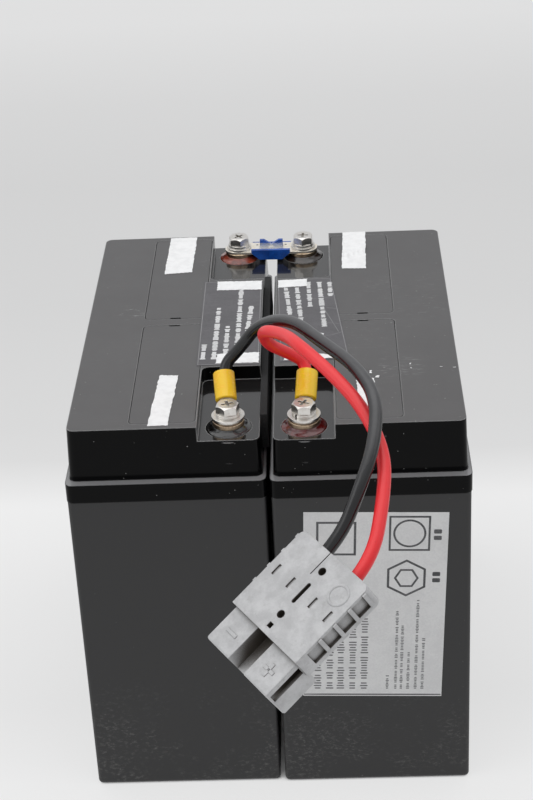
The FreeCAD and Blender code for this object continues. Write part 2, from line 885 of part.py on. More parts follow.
def make_fuse_link():
    strip = rounded_block(terminal_x + fuse_end_reach, fuse_width / 2.0, fuse_end_round, 0.0,
                          lug_thickness)
    above = lug_thickness + over
    tools = []
    for side in (-1, 1):
        tools.append(slot_tool(side * terminal_x, fuse_slot_length, fuse_slot_width, -over, above))
        tools.append(box(-fuse_neck_length / 2.0, fuse_neck_length / 2.0,
                         side * fuse_neck_width / 2.0, side * fuse_width, -over, above))
        for row in (-1, 1):
            tools.append(cylinder(fuse_hole_radius, -over, above, side * fuse_hole_spacing_x / 2.0,
                                  row * fuse_hole_spacing_y / 2.0))
    pellet = cylinder(fuse_pellet_radius, 0.0, lug_thickness + fuse_pellet_height)
    return fuse_all([strip.cut(tools), pellet])


def fuse_body_half_y():
    return fuse_width / 2.0 + fuse_body_side


def fuse_upright_y():
    """Front face of the notched upright, just behind the link's neck."""
    return fuse_neck_width / 2.0 + fuse_upright_clear


def make_fuse_upright():
    """Notched upright on the link, with a foot that goes down beside the link's neck."""
    front = fuse_upright_y()
    rear = front + fuse_upright_thickness
    half_x = fuse_upright_length / 2.0
    foot = fuse_neck_length / 2.0 - fuse_upright_clear
    notch = fuse_notch_width / 2.0
    top = lug_thickness + fuse_upright_height
    wall = box(-half_x, half_x, front, rear, lug_thickness, top)
    stem = box(-foot, foot, front, rear, -fuse_body_below, lug_thickness)
    valley = prism([(-notch, front, top), (notch, front, top), (0.0, front, top - fuse_notch_depth)],
                   V(0, fuse_upright_thickness, 0))
    return fuse_all([wall, stem]).cut(valley)


def make_fuse_body():
    """Tray around the link, with a lip in front and a notched upright in the middle."""
    half_x = terminal_x - fuse_body_clear
    half_y = fuse_body_half_y()
    foot = fuse_body_foot / 2.0
    lip = lug_thickness + fuse_lip
    side_view = [(-half_x, -half_y, lip), (half_x, -half_y, lip),
                 (half_x, -half_y, lug_thickness), (foot, -half_y, -fuse_body_below),
                 (-foot, -half_y, -fuse_body_below), (-half_x, -half_y, lug_thickness)]
    body = prism(side_view, V(0, 2.0 * half_y, 0))
    inner_y = half_y - fuse_body_wall
    room = fuse_room_length / 2.0
    past = half_x + over
    tools = [box(-past, past, -inner_y, half_y + over, lug_thickness, lip + over),
             box(-room, room, -inner_y, inner_y, -fuse_room_depth, lip),
             box(-past, past, -fuse_width / 2.0, fuse_width / 2.0, 0.0, lug_thickness)]
    return fuse_all([cut_all(body, tools), make_fuse_upright()])


def make_fuse_window():
    """Clear cover over the link's neck, between the tray's lip and its upright."""
    front = fuse_body_wall - fuse_body_half_y()
    top = lug_thickness + fuse_lip
    return box(-fuse_window_length / 2.0, fuse_window_length / 2.0, front, fuse_upright_y(),
               top - fuse_window_thickness, top)


def build_fuse():
    save("fuse_link", fuse_frame(make_fuse_link()))
    save("fuse_body", fuse_frame(make_fuse_body()))
    save("fuse_window", fuse_frame(make_fuse_window()))


# ---- connector

def plug_frame(shape):
    placement = FreeCAD.Placement(plug_at, FreeCAD.Rotation(plug_yaw, plug_pitch, plug_roll))
    return shape.transformGeometry(placement.toMatrix())


def pole_sides():
    return (("black", -1), ("red", 1))


def blade_top():
    return -nose_step - nose_roof - spring_thickness - spring_gap


def make_plug_housing():
    half = shell_width / 2.0
    nose_half = nose_width / 2.0
    end = shell_length + nose_length
    shell = box(0.0, shell_length, -half, half, -shell_thickness, 0.0)
    upright = [e for e in shell.Edges if e.BoundBox.XLength < 0.01 and e.BoundBox.YLength < 0.01
               and e.BoundBox.XMax < 0.01]
    shell = shell.makeFillet(shell_corner, upright)
    nose = box(shell_length - over, end, -nose_half, nose_half, -nose_bottom, -nose_step)
    nose_front = [e for e in nose.Edges if e.BoundBox.XMin > end - 0.01]
    nose = nose.makeFillet(nose_round, nose_front)
    ribs = []
    pockets = []
    starts = [rib_first + rib_spacing * number for number in range(rib_count - 1)]
    lands = [rib_first - rib_spacing] + starts
    for land in lands:
        for side in (-1, 1):
            ribs.append(box(land - rib_width / 2.0, land + rib_width / 2.0,
                            side * (half - side_pocket_depth), side * (half + rib_proud),
                            -side_pocket_bottom, -rib_top))
            pockets.append(box(land + rib_width / 2.0,
                               land + rib_spacing - rib_width / 2.0,
                               side * (half - side_pocket_depth), side * (half + over),
                               -side_pocket_bottom, -side_pocket_top))
    body = shell.cut(pockets).fuse(ribs).fuse(nose).removeSplitter()
    return cut_all(body, plug_tools(end, nose_half))


def plug_tools(end, nose_half):
    tools = []
    key = key_slot_width / 2.0
    tools.append(box(shell_length, end + over, -key, key, -nose_step - key_slot_depth, over))
    cheek = key + nose_wall
    for side in (-1, 1):
        tools.append(box(shell_length, end + over, side * cheek, side * (nose_half - nose_wall),
                         -nose_bottom + nose_wall, -nose_step - nose_roof))
        tools.append(box(shell_length + side_slot_start, end - side_slot_end,
                         side * (nose_half - nose_wall - over), side * (nose_half + over),
                         -side_slot_bottom, -side_slot_top))
        tools.append(Part.makeCylinder(barrel_bore, barrel_start + barrel_length + 2.0 * over,
                                       V(-over, side * pole_offset, -pole_depth), V(1, 0, 0)))
        channel = blade_width / 2.0 + blade_fit
        tools.append(box(barrel_start + barrel_length, shell_length + over,
                         side * blade_offset - channel, side * blade_offset + channel,
                         blade_top() - blade_thickness - blade_fit, -nose_step - nose_roof))
    for place in hole_places:
        tools.append(cylinder(hole_diameter / 2.0, -hole_depth, over, place))
    x0, x1, width = top_slot
    tools.append(slot_tool((x0 + x1) / 2.0, x1 - x0, width, -hole_depth, over))
    half_square = square_size / 2.0
    tools.append(box(square_place - half_square, square_place + half_square,
                     -half_square, half_square, -hole_depth, over))
    for offset in slit_offsets:
        for side in (-1, 1):
            tools.append(box(slit_place - slit_size[0] / 2.0, slit_place + slit_size[0] / 2.0,
                             side * offset - slit_size[1] / 2.0,
                             side * offset + slit_size[1] / 2.0, -slit_depth, over))
    tools.append(box(-over, seam_length, seam_offset - seam_width / 2.0,
                     seam_offset + seam_width / 2.0, -seam_depth, over))
    return tools


def make_contact(side):
    end = shell_length + nose_length - blade_end_gap
    rear = barrel_start + barrel_length
    barrel = Part.makeCylinder(barrel_bore - barrel_fit, barrel_length,
                               V(barrel_start, side * pole_offset, -pole_depth), V(1, 0, 0))
    top = blade_top()
    near = side * blade_offset - blade_width / 2.0
    bend = end - blade_tip_length
    side_view = [(rear, near, top), (bend, near, top), (end, near, top - blade_tip_drop),
                 (end, near, top - blade_tip_drop - blade_thickness),
                 (bend, near, top - blade_thickness), (rear, near, top - blade_thickness)]
    return fuse_all([barrel, prism(side_view, V(0, blade_width, 0))])


def make_contact_spring(side):
    y = side * blade_offset
    start = barrel_start + barrel_length + spring_start_gap
    end = shell_length + nose_length - spring_end_gap
    top = -nose_step - nose_roof
    return box(start, end, y - spring_width / 2.0, y + spring_width / 2.0,
               top - spring_thickness, top)


def build_connector():
    save("connector_housing", plug_frame(make_plug_housing()))
    springs = []
    for name, side in pole_sides():
        save("%s_contact" % name, plug_frame(make_contact(side)))
        springs.append(plug_frame(make_contact_spring(side)))
    save("contact_springs", Part.makeCompound(springs))


# ---- labels, tape scraps and foam

def flat_sheet(outline, z, thickness):
    return prism([(x, y, z) for x, y in outline], V(0, 0, thickness))


def build_labels():
    z = block_height
    front = front_recess_end + label_front_margin
    rear = rear_recess_end - label_rear_margin
    x0, x1 = left_label_x
    left_label = [(x0, front), (x1, front), (x1, rear), (x0, rear)]
    step = right_label_front_step
    right_label = [(right_label_front_x[0], front + step),
                   (right_label_front_x[1], front + 2.0 * step),
                   (right_label_rear_x[1], rear), (right_label_rear_x[0], rear)]
    save("left_top_label", flat_sheet(left_label, z, label_thickness))
    save("right_top_label", flat_sheet(right_label, z, label_thickness))
    width = front_label_width / 2.0
    height = front_label_height / 2.0
    face_y = -case_half_y - block_stagger / 2.0
    sheet = box(-width, width, -label_thickness, 0.0, -height, height)
    sheet.rotate(V(0, 0, 0), V(0, 1, 0), front_label_turn)
    sheet.translate(V(block_pitch / 2.0 + front_label_offset, face_y,
                      case_rim_z - front_label_drop - height))
    save("right_front_label", sheet)


def scrap(corners, end, z):
    """One tape scrap; end is -1 where its corners are measured from the front, +1 from the rear."""
    return flat_sheet([(x, end * (half_length - inset)) for x, inset in corners], z,
                      tape_thickness)


def build_tape():
    over_label = block_height + label_thickness
    for number, name in enumerate(("left", "right")):
        scraps = [scrap(rear_scraps[number], 1, block_height),
                  scrap(front_scraps[number], -1, block_height),
                  scrap(rear_label_scraps[number], 1, over_label),
                  scrap(front_label_scraps[number], -1, over_label)]
        save("%s_tape_scraps" % name, Part.makeCompound(scraps))


def build_foam():
    half_gap = block_gap / 2.0 + case_inset
    pads = []
    for side in (-1, 1):
        y = side * foam_pad_centre_y
        pads.append(box(-half_gap, half_gap, y - foam_pad_length / 2.0, y + foam_pad_length / 2.0,
                        foam_pad_centre_z - foam_pad_height / 2.0,
                        foam_pad_centre_z + foam_pad_height / 2.0))
    save("foam_pads", Part.makeCompound(pads))
    top_z = block_height - strip_drop
    low_z = top_z - strip_height
    low_x = lid_top_half(low_z)[0] - block_pitch / 2.0
    high_x = lid_top_half(top_z)[0] - block_pitch / 2.0
    front = strip_front_margin - half_length
    outline = [(low_x, front, low_z), (low_x + strip_thickness, front, low_z),
               (high_x + strip_thickness, front, top_z), (high_x, front, top_z)]
    length = block_length - strip_front_margin - strip_rear_margin
    save("gap_foam_strip", prism(outline, V(0, length, 0)))


os.makedirs("parts", exist_ok=True)
build_block(-1, "negative")
build_block(1, "positive")
build_post_rings()
build_bolt_stacks()
build_lugs()
build_cables()
build_fuse()
build_connector()
build_labels()
build_tape()
build_foam()
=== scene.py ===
import math
import random
import bpy
from mathutils import Matrix, Vector


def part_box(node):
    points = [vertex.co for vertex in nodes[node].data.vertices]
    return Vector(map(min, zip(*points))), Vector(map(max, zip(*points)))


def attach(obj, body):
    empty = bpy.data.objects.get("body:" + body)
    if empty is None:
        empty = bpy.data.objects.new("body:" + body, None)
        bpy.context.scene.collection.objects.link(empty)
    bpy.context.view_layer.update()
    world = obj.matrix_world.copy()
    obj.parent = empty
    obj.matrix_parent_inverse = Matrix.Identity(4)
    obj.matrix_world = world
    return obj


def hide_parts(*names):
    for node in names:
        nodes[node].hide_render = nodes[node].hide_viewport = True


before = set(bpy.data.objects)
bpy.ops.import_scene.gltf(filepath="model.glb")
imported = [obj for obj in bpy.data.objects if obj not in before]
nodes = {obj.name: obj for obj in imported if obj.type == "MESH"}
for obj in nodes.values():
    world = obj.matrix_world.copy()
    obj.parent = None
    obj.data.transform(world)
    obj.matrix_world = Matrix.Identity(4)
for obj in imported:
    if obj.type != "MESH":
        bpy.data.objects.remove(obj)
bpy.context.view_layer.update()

mm = 0.001


# node helpers: a noise is (size, detail, roughness, stretch), and a pair called ...From is where
# a mask is 0 and where it is 1

nodeSettings = dict(bevelSamples=6, shadeSamples=8, edgeFrom=(0.02, 0.2), slotFrom=(0.80, 0.30))


def newMaterial(name):
    material = bpy.data.materials.new(name)
    material.use_nodes = True
    return material, material.node_tree, material.node_tree.nodes["Principled BSDF"]


def plug(tree, socket, value):
    if isinstance(value, bpy.types.NodeSocket):
        tree.links.new(value, socket)
    else:
        socket.default_value = value


def setSockets(shader, values):  # what is the same all over the surface
    for name, value in values.items():
        shader.inputs[name].default_value = value


def addNode(tree, kind, inputs=None, **settings):
    node = tree.nodes.new(kind)
    for key, value in settings.items():
        setattr(node, key, value)
    for key, value in (inputs or {}).items():
        plug(tree, node.inputs[key], value)
    return node


def rgb(value):
    return (value[0], value[1], value[2], 1.0)


def scaled(colour, share):
    return [v * share for v in colour]


def placeOf(tree):
    return addNode(tree, "ShaderNodeTexCoord").outputs["Object"]


def normalOf(tree):
    return addNode(tree, "ShaderNodeNewGeometry").outputs["Normal"]


def axisOf(tree, vector, axis):
    return addNode(tree, "ShaderNodeSeparateXYZ", {"Vector": vector}).outputs[axis]


def calc(tree, operation, first, second=0.0):
    node = addNode(tree, "ShaderNodeMath", operation=operation)
    for index, value in enumerate((first, second)):
        plug(tree, node.inputs[index], value)
    return node.outputs[0]


def times(tree, first, *others):
    for value in others:
        first = calc(tree, "MULTIPLY", first, value)
    return first


def noiseOf(tree, place, size, detail, rough, stretch=(1, 1, 1)):  # size in metres
    place = addNode(tree, "ShaderNodeMapping", {"Vector": place, "Scale": stretch}).outputs[0]
    inputs = {"Vector": place, "Scale": 1.0 / size, "Detail": detail, "Roughness": rough}
    return addNode(tree, "ShaderNodeTexNoise", inputs).outputs["Fac"]


def ramp(tree, value, low, high):  # 0 at low, 1 at high, smooth between
    inputs = {"Value": value, "From Min": low, "From Max": high}
    return addNode(tree, "ShaderNodeMapRange", inputs, interpolation_type="SMOOTHSTEP").outputs[0]


def window(tree, value, low, high, soft):  # 1 between low and high
    rise = ramp(tree, value, low - soft, low + soft)
    return times(tree, rise, ramp(tree, value, high + soft, high - soft))


def tint(tree, base, amount, colour):  # the colour laid over the base
    node = addNode(tree, "ShaderNodeMix", data_type="RGBA")
    for index, value in ((0, amount), (6, base), (7, rgb(colour))):
        plug(tree, node.inputs[index], value)
    return node.outputs[2]


def mixValue(tree, amount, first, second):
    node = addNode(tree, "ShaderNodeMix", data_type="FLOAT")
    for index, value in ((0, amount), (2, first), (3, second)):
        plug(tree, node.inputs[index], value)
    return node.outputs[0]


def varied(tree, value, noise, spread):  # up and down with a noise, whose middle is 0.5
    return calc(tree, "ADD", value, times(tree, calc(tree, "SUBTRACT", noise, 0.5), spread))


def facingUp(tree):
    return axisOf(tree, normalOf(tree), "Z")


def softEdge(tree, radius):
    node = addNode(tree, "ShaderNodeBevel", {"Radius": radius},
                   samples=nodeSettings["bevelSamples"])
    return node.outputs[0]


def edgeMask(tree, soft):  # 1 where the softened normal leaves the flat one
    inputs = {0: normalOf(tree), 1: soft}
    dot = addNode(tree, "ShaderNodeVectorMath", inputs, operation="DOT_PRODUCT").outputs["Value"]
    return ramp(tree, calc(tree, "SUBTRACT", 1.0, dot), *nodeSettings["edgeFrom"])


def openShare(tree, reach):  # 1 in the open, 0 deep in a slot
    node = addNode(tree, "ShaderNodeAmbientOcclusion", {"Distance": reach},
                   samples=nodeSettings["shadeSamples"])
    return node.outputs["AO"]


def hollow(tree, reach):  # 1 deep in a slot, 0 in the open
    return ramp(tree, openShare(tree, reach), *nodeSettings["slotFrom"])


def bumpOf(tree, height, depth, normal=None):
    inputs = {"Height": height, "Distance": depth, "Strength": 1.0}
    if normal is not None:
        inputs["Normal"] = normal
    return addNode(tree, "ShaderNodeBump", inputs).outputs[0]


def dress(tree, shader, colour, rough, normal):
    for name, value in (("Base Color", colour), ("Roughness", rough), ("Normal", normal)):
        plug(tree, shader.inputs[name], value)


# black plastic of the lids and the vent covers: a pale top of dust and painted sheen, glossy recess
# floors, dust and a painted highlight on the flange, pale worn edges with a painted highlight on
# the lid tops, flecks, hair scratches and scuffs given as (x, y, radius, strength) in millimetres

lidEdges = {
    "lidPlastic": dict(soft=0.7 * mm, wear=1.3),
    "coverPlastic": dict(soft=0.28 * mm, wear=0.39),
}
lidLook = dict(
    black=(0.0016, 0.0016, 0.0018), rough=0.16, facingFrom=(0.6, 0.95), rightFrom=(-1 * mm, 6 * mm),
    topDustAndSheen=(0.138, 0.136, 0.137), topRough=0.45, topFrom=(165.2 * mm, 165.8 * mm),
    cloud=(30 * mm, 5.0, 0.65), topDustAndSheenCloud=(0.88, 1.10),
    streak=(7 * mm, 6.0, 0.7, (1, 0.35, 1)), topDustAndSheenStreak=(0.94, 1.05), streakRough=0.12,
    floorBlack=(0.016, 0.015, 0.015), floorRough=0.20, floorStreak=(0.5, 1.0),
    gloss={"Coat Roughness": 0.05, "Coat IOR": 1.52, "Specular IOR Level": 0.10},
    dust=(0.28, 0.28, 0.285), dustCloud=(0.7, 1.2), dustFrom=(150 * mm, 149 * mm),
    flatFrom=(0.90, 0.995),
    fleck=(0.50, 0.50, 0.48), flecks=(1.1 * mm, 1.0, 0.3), fleckFrom=(0.800, 0.820),
    fleckShare=0.55, fleckRight=0.022,
    scratch=(0.42, 0.42, 0.42), hairs=(5 * mm, 3.0, 0.5, (0.3, 3.2, 1)),
    hairLine=(0.497, 0.503, 0.004), hairFrom=(0.48, 0.62), hairShare=(0.12, 0.26),
    rubs=(2.6 * mm, 6.0, 0.75, (0.6, 1.9, 1)), rubFrom=(0.54, 0.66), top=167 * mm, scuffCore=0.3,
    scuffs=[(-57.5, 12.0, 9, 0.55), (-20.0, -41.0, 6, 0.5), (-27.0, 60.0, 7, 0.3),
            (52.0, -44.0, 13, 0.45), (64.0, 10.0, 16, 0.22), (48.0, 30.0, 12, 0.2)],
    edge=(0.42, 0.42, 0.42), edgeCloud=(0.55, 1.25), edgeFrom=(149 * mm, 150 * mm),
    grain=(0.7 * mm, 2.0, 0.5), cloudHeight=2.0, depth=0.012 * mm,
)


def lidPlastic(name):
    look = lidLook
    material, tree, shader = newMaterial(name)
    place = placeOf(tree)
    z = axisOf(tree, place, "Z")
    cloud = noiseOf(tree, place, *look["cloud"])
    streak = noiseOf(tree, place, *look["streak"])
    soft = softEdge(tree, lidEdges[name]["soft"])
    up = ramp(tree, facingUp(tree), *look["facingFrom"])
    onTop = times(tree, up, ramp(tree, z, *look["topFrom"]))
    inRecess = calc(tree, "SUBTRACT", up, onTop)
    onRight = ramp(tree, axisOf(tree, place, "X"), *look["rightFrom"])
    # painted sheen: the top faces are paler, partly from dust and partly standing in for the sheen
    # of the glossy top
    topDustAndSheen = times(tree, onTop, mixValue(tree, cloud, *look["topDustAndSheenCloud"]),
                 mixValue(tree, streak, *look["topDustAndSheenStreak"]))
    base = tint(tree, rgb(look["black"]), topDustAndSheen, look["topDustAndSheen"])
    floors = times(tree, inRecess, mixValue(tree, streak, *look["floorStreak"]))
    base = tint(tree, base, floors, look["floorBlack"])
    flat = ramp(tree, axisOf(tree, soft, "Z"), *look["flatFrom"])
    # dust and painted highlight: the flat upward faces of the flange turn pale
    dust = times(tree, up, flat, ramp(tree, z, *look["dustFrom"]),
                 mixValue(tree, cloud, *look["dustCloud"]))
    base = tint(tree, base, dust, look["dust"])
    flecks = calc(tree, "ADD", noiseOf(tree, place, *look["flecks"]),
                  times(tree, onRight, onTop, look["fleckRight"]))
    flecks = times(tree, ramp(tree, flecks, *look["fleckFrom"]), look["fleckShare"])
    base = tint(tree, base, flecks, look["fleck"])
    hairs = window(tree, noiseOf(tree, place, *look["hairs"]), *look["hairLine"])
    hairs = times(tree, hairs, ramp(tree, cloud, *look["hairFrom"]), onTop,
                  mixValue(tree, onRight, *look["hairShare"]))
    base = tint(tree, base, hairs, look["scratch"])
    rubs = ramp(tree, noiseOf(tree, place, *look["rubs"]), *look["rubFrom"])
    for x, y, radius, strength in look["scuffs"]:
        inputs = {0: place, 1: (x * mm, y * mm, look["top"])}
        away = addNode(tree, "ShaderNodeVectorMath", inputs, operation="DISTANCE").outputs["Value"]
        near = ramp(tree, away, radius * mm, radius * look["scuffCore"] * mm)
        base = tint(tree, base, times(tree, near, rubs, onTop, strength), look["scratch"])
    # worn edges and painted highlight: pale lines along the lid's top edges
    worn = times(tree, edgeMask(tree, soft), mixValue(tree, cloud, *look["edgeCloud"]),
                 ramp(tree, z, *look["edgeFrom"]), lidEdges[name]["wear"])
    base = tint(tree, base, worn, look["edge"])
    rough = mixValue(tree, onTop, look["rough"], look["topRough"])
    rough = mixValue(tree, inRecess, rough, look["floorRough"])
    rough = varied(tree, rough, streak, look["streakRough"])
    height = calc(tree, "ADD", noiseOf(tree, place, *look["grain"]),
                  times(tree, cloud, look["cloudHeight"]))
    dress(tree, shader, base, rough, bumpOf(tree, height, look["depth"], soft))
    plug(tree, shader.inputs["Coat Weight"], inRecess)
    setSockets(shader, look["gloss"])
    return material


# black plastic of the cases: pale dust and rub marks low down, a few specks everywhere

caseLook = dict(
    black=(0.0150, 0.0150, 0.0155), paler=1.35, palerShare=0.5, rough=0.46, roughSpread=0.14,
    cloud=(26 * mm, 5.0, 0.65), dust=(0.24, 0.235, 0.225), dustFrom=(60 * mm, 18 * mm),
    cloudFrom=(0.40, 0.62), marks=(2.2 * mm, 9.0, 0.8, (1.0, 1.0, 1.6)), markFrom=(0.50, 0.68),
    markShare=0.50, specks=(1.4 * mm, 2.0, 0.5), speckFrom=(0.750, 0.79), speckShare=0.35,
    edge=0.6 * mm, edgeShare=0.30, grain=(0.35 * mm, 2.0, 0.5), depth=0.02 * mm,
)


def casePlastic(name):
    look = caseLook
    material, tree, shader = newMaterial(name)
    place = placeOf(tree)
    cloud = noiseOf(tree, place, *look["cloud"])
    soft = softEdge(tree, look["edge"])
    low = times(tree, ramp(tree, axisOf(tree, place, "Z"), *look["dustFrom"]),
                ramp(tree, cloud, *look["cloudFrom"]))
    marks = ramp(tree, noiseOf(tree, place, *look["marks"]), *look["markFrom"])
    specks = ramp(tree, noiseOf(tree, place, *look["specks"]), *look["speckFrom"])
    dust = calc(tree, "MAXIMUM", times(tree, marks, low, look["markShare"]),
                times(tree, specks, look["speckShare"]))
    base = tint(tree, rgb(look["black"]), times(tree, cloud, look["palerShare"]),
                scaled(look["black"], look["paler"]))
    base = tint(tree, base, dust, look["dust"])
    worn = times(tree, edgeMask(tree, soft), cloud, look["edgeShare"])
    base = tint(tree, base, worn, look["dust"])
    rough = varied(tree, look["rough"], cloud, look["roughSpread"])
    grain = noiseOf(tree, place, *look["grain"])
    dress(tree, shader, base, rough, bumpOf(tree, grain, look["depth"], soft))
    return material


# grey connector plastic with smears, and painted shade in its slots

housingLook = dict(
    grey=(0.47, 0.47, 0.475), pale=(0.60, 0.60, 0.605), paleFrom=(0.35, 0.68), rough=(0.34, 0.58),
    cloud=(7 * mm, 5.0, 0.7), edge=0.45 * mm, edgeShare=0.4,
    smear=(0.29, 0.285, 0.27), smears=(2.4 * mm, 6.0, 0.75), smearFrom=(0.53, 0.72),
    smearShare=0.35,
    paintedSlotShade=(0.050, 0.038, 0.026), reach=12 * mm, paintedSlotShadeShare=0.96,
    grain=(0.45 * mm, 2.0, 0.5), flow=(3 * mm, 3.0, 0.5, (1, 0.4, 1)), flowHeight=3.0,
    depth=0.035 * mm,
)


def housingPlastic(name):
    look = housingLook
    material, tree, shader = newMaterial(name)
    place = placeOf(tree)
    cloud = noiseOf(tree, place, *look["cloud"])
    soft = softEdge(tree, look["edge"])
    base = tint(tree, rgb(look["grey"]), ramp(tree, cloud, *look["paleFrom"]), look["pale"])
    base = tint(tree, base, times(tree, edgeMask(tree, soft), look["edgeShare"]), look["pale"])
    smears = ramp(tree, noiseOf(tree, place, *look["smears"]), *look["smearFrom"])
    base = tint(tree, base, times(tree, smears, look["smearShare"]), look["smear"])
    # painted shade: darker and browner deep in the slots, by an occlusion mask
    paintedSlotShade = times(tree, hollow(tree, look["reach"]), look["paintedSlotShadeShare"])
    base = tint(tree, base, paintedSlotShade, look["paintedSlotShade"])
    flow = times(tree, noiseOf(tree, place, *look["flow"]), look["flowHeight"])
    height = calc(tree, "ADD", noiseOf(tree, place, *look["grain"]), flow)
    dress(tree, shader, base, mixValue(tree, cloud, *look["rough"]),
          bumpOf(tree, height, look["depth"], soft))
    return material


# metals: hair lines, tarnish and painted shade darkening the slots

metalWear = dict(
    tarnish=(1.8 * mm, 6.0, 0.7), tarnishFrom=(0.40, 0.72), tarnishRough=0.16,
    hairs=(0.45 * mm, 3.0, 0.6, (6, 0.6, 1)), hairRough=0.08, depth=0.012 * mm,
    reach=1.2 * mm, slotShadeShare=0.4, slotShadeTone=0.4,
)
metalLooks = {
    "platedSteel": dict(bright=(0.74, 0.72, 0.69), dull=(0.52, 0.48, 0.42), rough=0.24,
                        edge=0.3 * mm, mark=0.4),
    "tinnedCopper": dict(bright=(0.84, 0.81, 0.77), dull=(0.55, 0.50, 0.44), rough=0.26,
                         edge=0.2 * mm, mark=0.5),
    "tinPlatedLink": dict(bright=(0.93, 0.90, 0.83), dull=(0.74, 0.62, 0.46), rough=0.32,
                          edge=0.15 * mm, mark=0.6),
    "postMetal": dict(bright=(0.60, 0.47, 0.33), dull=(0.20, 0.12, 0.08), rough=0.30,
                      edge=0.25 * mm, mark=0.8),
    "silveredContact": dict(bright=(0.84, 0.82, 0.77), dull=(0.55, 0.50, 0.42), rough=0.24,
                            edge=0.2 * mm, mark=0.5),
    "springSteel": dict(bright=(0.62, 0.62, 0.62), dull=(0.40, 0.39, 0.37), rough=0.25,
                        edge=0.1 * mm, mark=0.4),
    "strapLead": dict(bright=(0.36, 0.37, 0.39), dull=(0.22, 0.23, 0.25), rough=0.52,
                      edge=0.4 * mm, mark=0.7),
}


def wornMetal(name):
    look = metalLooks[name]
    wear = metalWear
    material, tree, shader = newMaterial(name)
    place = placeOf(tree)
    tarnish = ramp(tree, noiseOf(tree, place, *wear["tarnish"]), *wear["tarnishFrom"])
    hairs = noiseOf(tree, place, *wear["hairs"])
    base = tint(tree, rgb(look["bright"]), times(tree, tarnish, look["mark"]), look["dull"])
    # painted shade: darker deep in slots, by an occlusion mask
    metalSlotShade = times(tree, hollow(tree, wear["reach"]), wear["slotShadeShare"])
    base = tint(tree, base, metalSlotShade, scaled(look["dull"], wear["slotShadeTone"]))
    rough = calc(tree, "ADD", look["rough"], times(tree, tarnish, wear["tarnishRough"]))
    rough = calc(tree, "ADD", rough, times(tree, hairs, wear["hairRough"]))
    soft = softEdge(tree, look["edge"])
    dress(tree, shader, base, rough, bumpOf(tree, hairs, wear["depth"], soft))
    setSockets(shader, {"Metallic": 1.0})
    return material


# rubber, foam, paper, sleeves, the fuse body and the blocks' inside

softGrain = dict(
    patches=(5.0, 0.65), patchFrom=(0.38, 0.68), fineSize=1 / 8, fine=(3.0, 0.6), fineHeight=0.25,
    roughSpread=0.3, edge=0.2 * mm,
)
softLooks = {
    "valveRubber": dict(first=(0.018, 0.018, 0.018), second=(0.04, 0.04, 0.04), rough=0.6,
                        size=3 * mm, depth=0.03 * mm),
    "leadDioxide": dict(first=(0.13, 0.075, 0.05), second=(0.20, 0.13, 0.09), rough=0.9,
                        size=1.5 * mm, depth=0.1 * mm),
    "spongyLead": dict(first=(0.26, 0.27, 0.29), second=(0.38, 0.39, 0.41), rough=0.8,
                       size=1.5 * mm, depth=0.08 * mm),
    "glassMat": dict(first=(0.80, 0.80, 0.78), second=(0.66, 0.66, 0.63), rough=0.95,
                     size=0.6 * mm, depth=0.1 * mm),
    "blackFoam": dict(first=(0.012, 0.012, 0.012), second=(0.034, 0.034, 0.035), rough=0.9,
                      size=0.7 * mm, depth=0.2 * mm),
    "paperTape": dict(first=(0.97, 0.97, 0.97), second=(0.89, 0.89, 0.89), rough=0.8,
                      size=3 * mm, depth=0.05 * mm),
    "yellowSleeve": dict(first=(1.0, 0.64, 0.02), second=(1.0, 0.54, 0.012), rough=0.26,
                         size=5 * mm, depth=0.05 * mm),
    "bluePlastic": dict(first=(0.012, 0.10, 0.48), second=(0.007, 0.055, 0.29), rough=0.26,
                        size=3 * mm, depth=0.03 * mm),
}


def softFinish(name):
    look = softLooks[name]
    grain = softGrain
    material, tree, shader = newMaterial(name)
    place = placeOf(tree)
    patches = noiseOf(tree, place, look["size"], *grain["patches"])
    fine = noiseOf(tree, place, look["size"] * grain["fineSize"], *grain["fine"])
    base = tint(tree, rgb(look["first"]), ramp(tree, patches, *grain["patchFrom"]), look["second"])
    height = calc(tree, "ADD", patches, times(tree, fine, grain["fineHeight"]))
    dress(tree, shader, base, varied(tree, look["rough"], patches, grain["roughSpread"]),
          bumpOf(tree, height, look["depth"], softEdge(tree, grain["edge"])))
    return material


# cable jackets: glossy sides, pale on top from dust and a painted highlight, more so between the
# two heights given

jacketDustAndHighlight = dict(
    patches=(6 * mm, 6.0, 0.7), patchShare=(0.5, 1.3), facingFrom=(0.25, 1.0), rough=0.25,
    spots=(1.6 * mm, 4.0, 0.6), spotFrom=(0.62, 0.74), spotShare=0.3, spotTone=0.6, depth=0.12 * mm,
)
jacketLooks = {
    "blackJacket": dict(clean=(0.004, 0.004, 0.005), dustAndHighlight=(0.120, 0.120, 0.125), rough=0.22,
                        share=0.66, heightFrom=(178 * mm, 207 * mm), heightShare=(0.10, 1.0)),
    "redJacket": dict(clean=(0.86, 0.014, 0.022), dustAndHighlight=(0.95, 0.080, 0.085), rough=0.30,
                      share=0.50, heightFrom=(160 * mm, 200 * mm), heightShare=(1.0, 1.0)),
}


def cableJacket(name):
    look = jacketLooks[name]
    cover = jacketDustAndHighlight
    material, tree, shader = newMaterial(name)
    place = placeOf(tree)
    patches = noiseOf(tree, place, *cover["patches"])
    height = ramp(tree, axisOf(tree, place, "Z"), *look["heightFrom"])
    # dust and painted highlight: faces turned up are paler
    dust = times(tree, ramp(tree, facingUp(tree), *cover["facingFrom"]),
                 mixValue(tree, patches, *cover["patchShare"]),
                 mixValue(tree, height, *look["heightShare"]), look["share"])
    base = tint(tree, rgb(look["clean"]), dust, look["dustAndHighlight"])
    spots = ramp(tree, noiseOf(tree, place, *cover["spots"]), *cover["spotFrom"])
    base = tint(tree, base, times(tree, spots, cover["spotShare"]),
                scaled(look["clean"], cover["spotTone"]))
    rough = calc(tree, "ADD", look["rough"], times(tree, dust, cover["rough"]))
    dress(tree, shader, base, rough, bumpOf(tree, patches, cover["depth"]))
    return material


# poured resin round the posts, paler at the rear

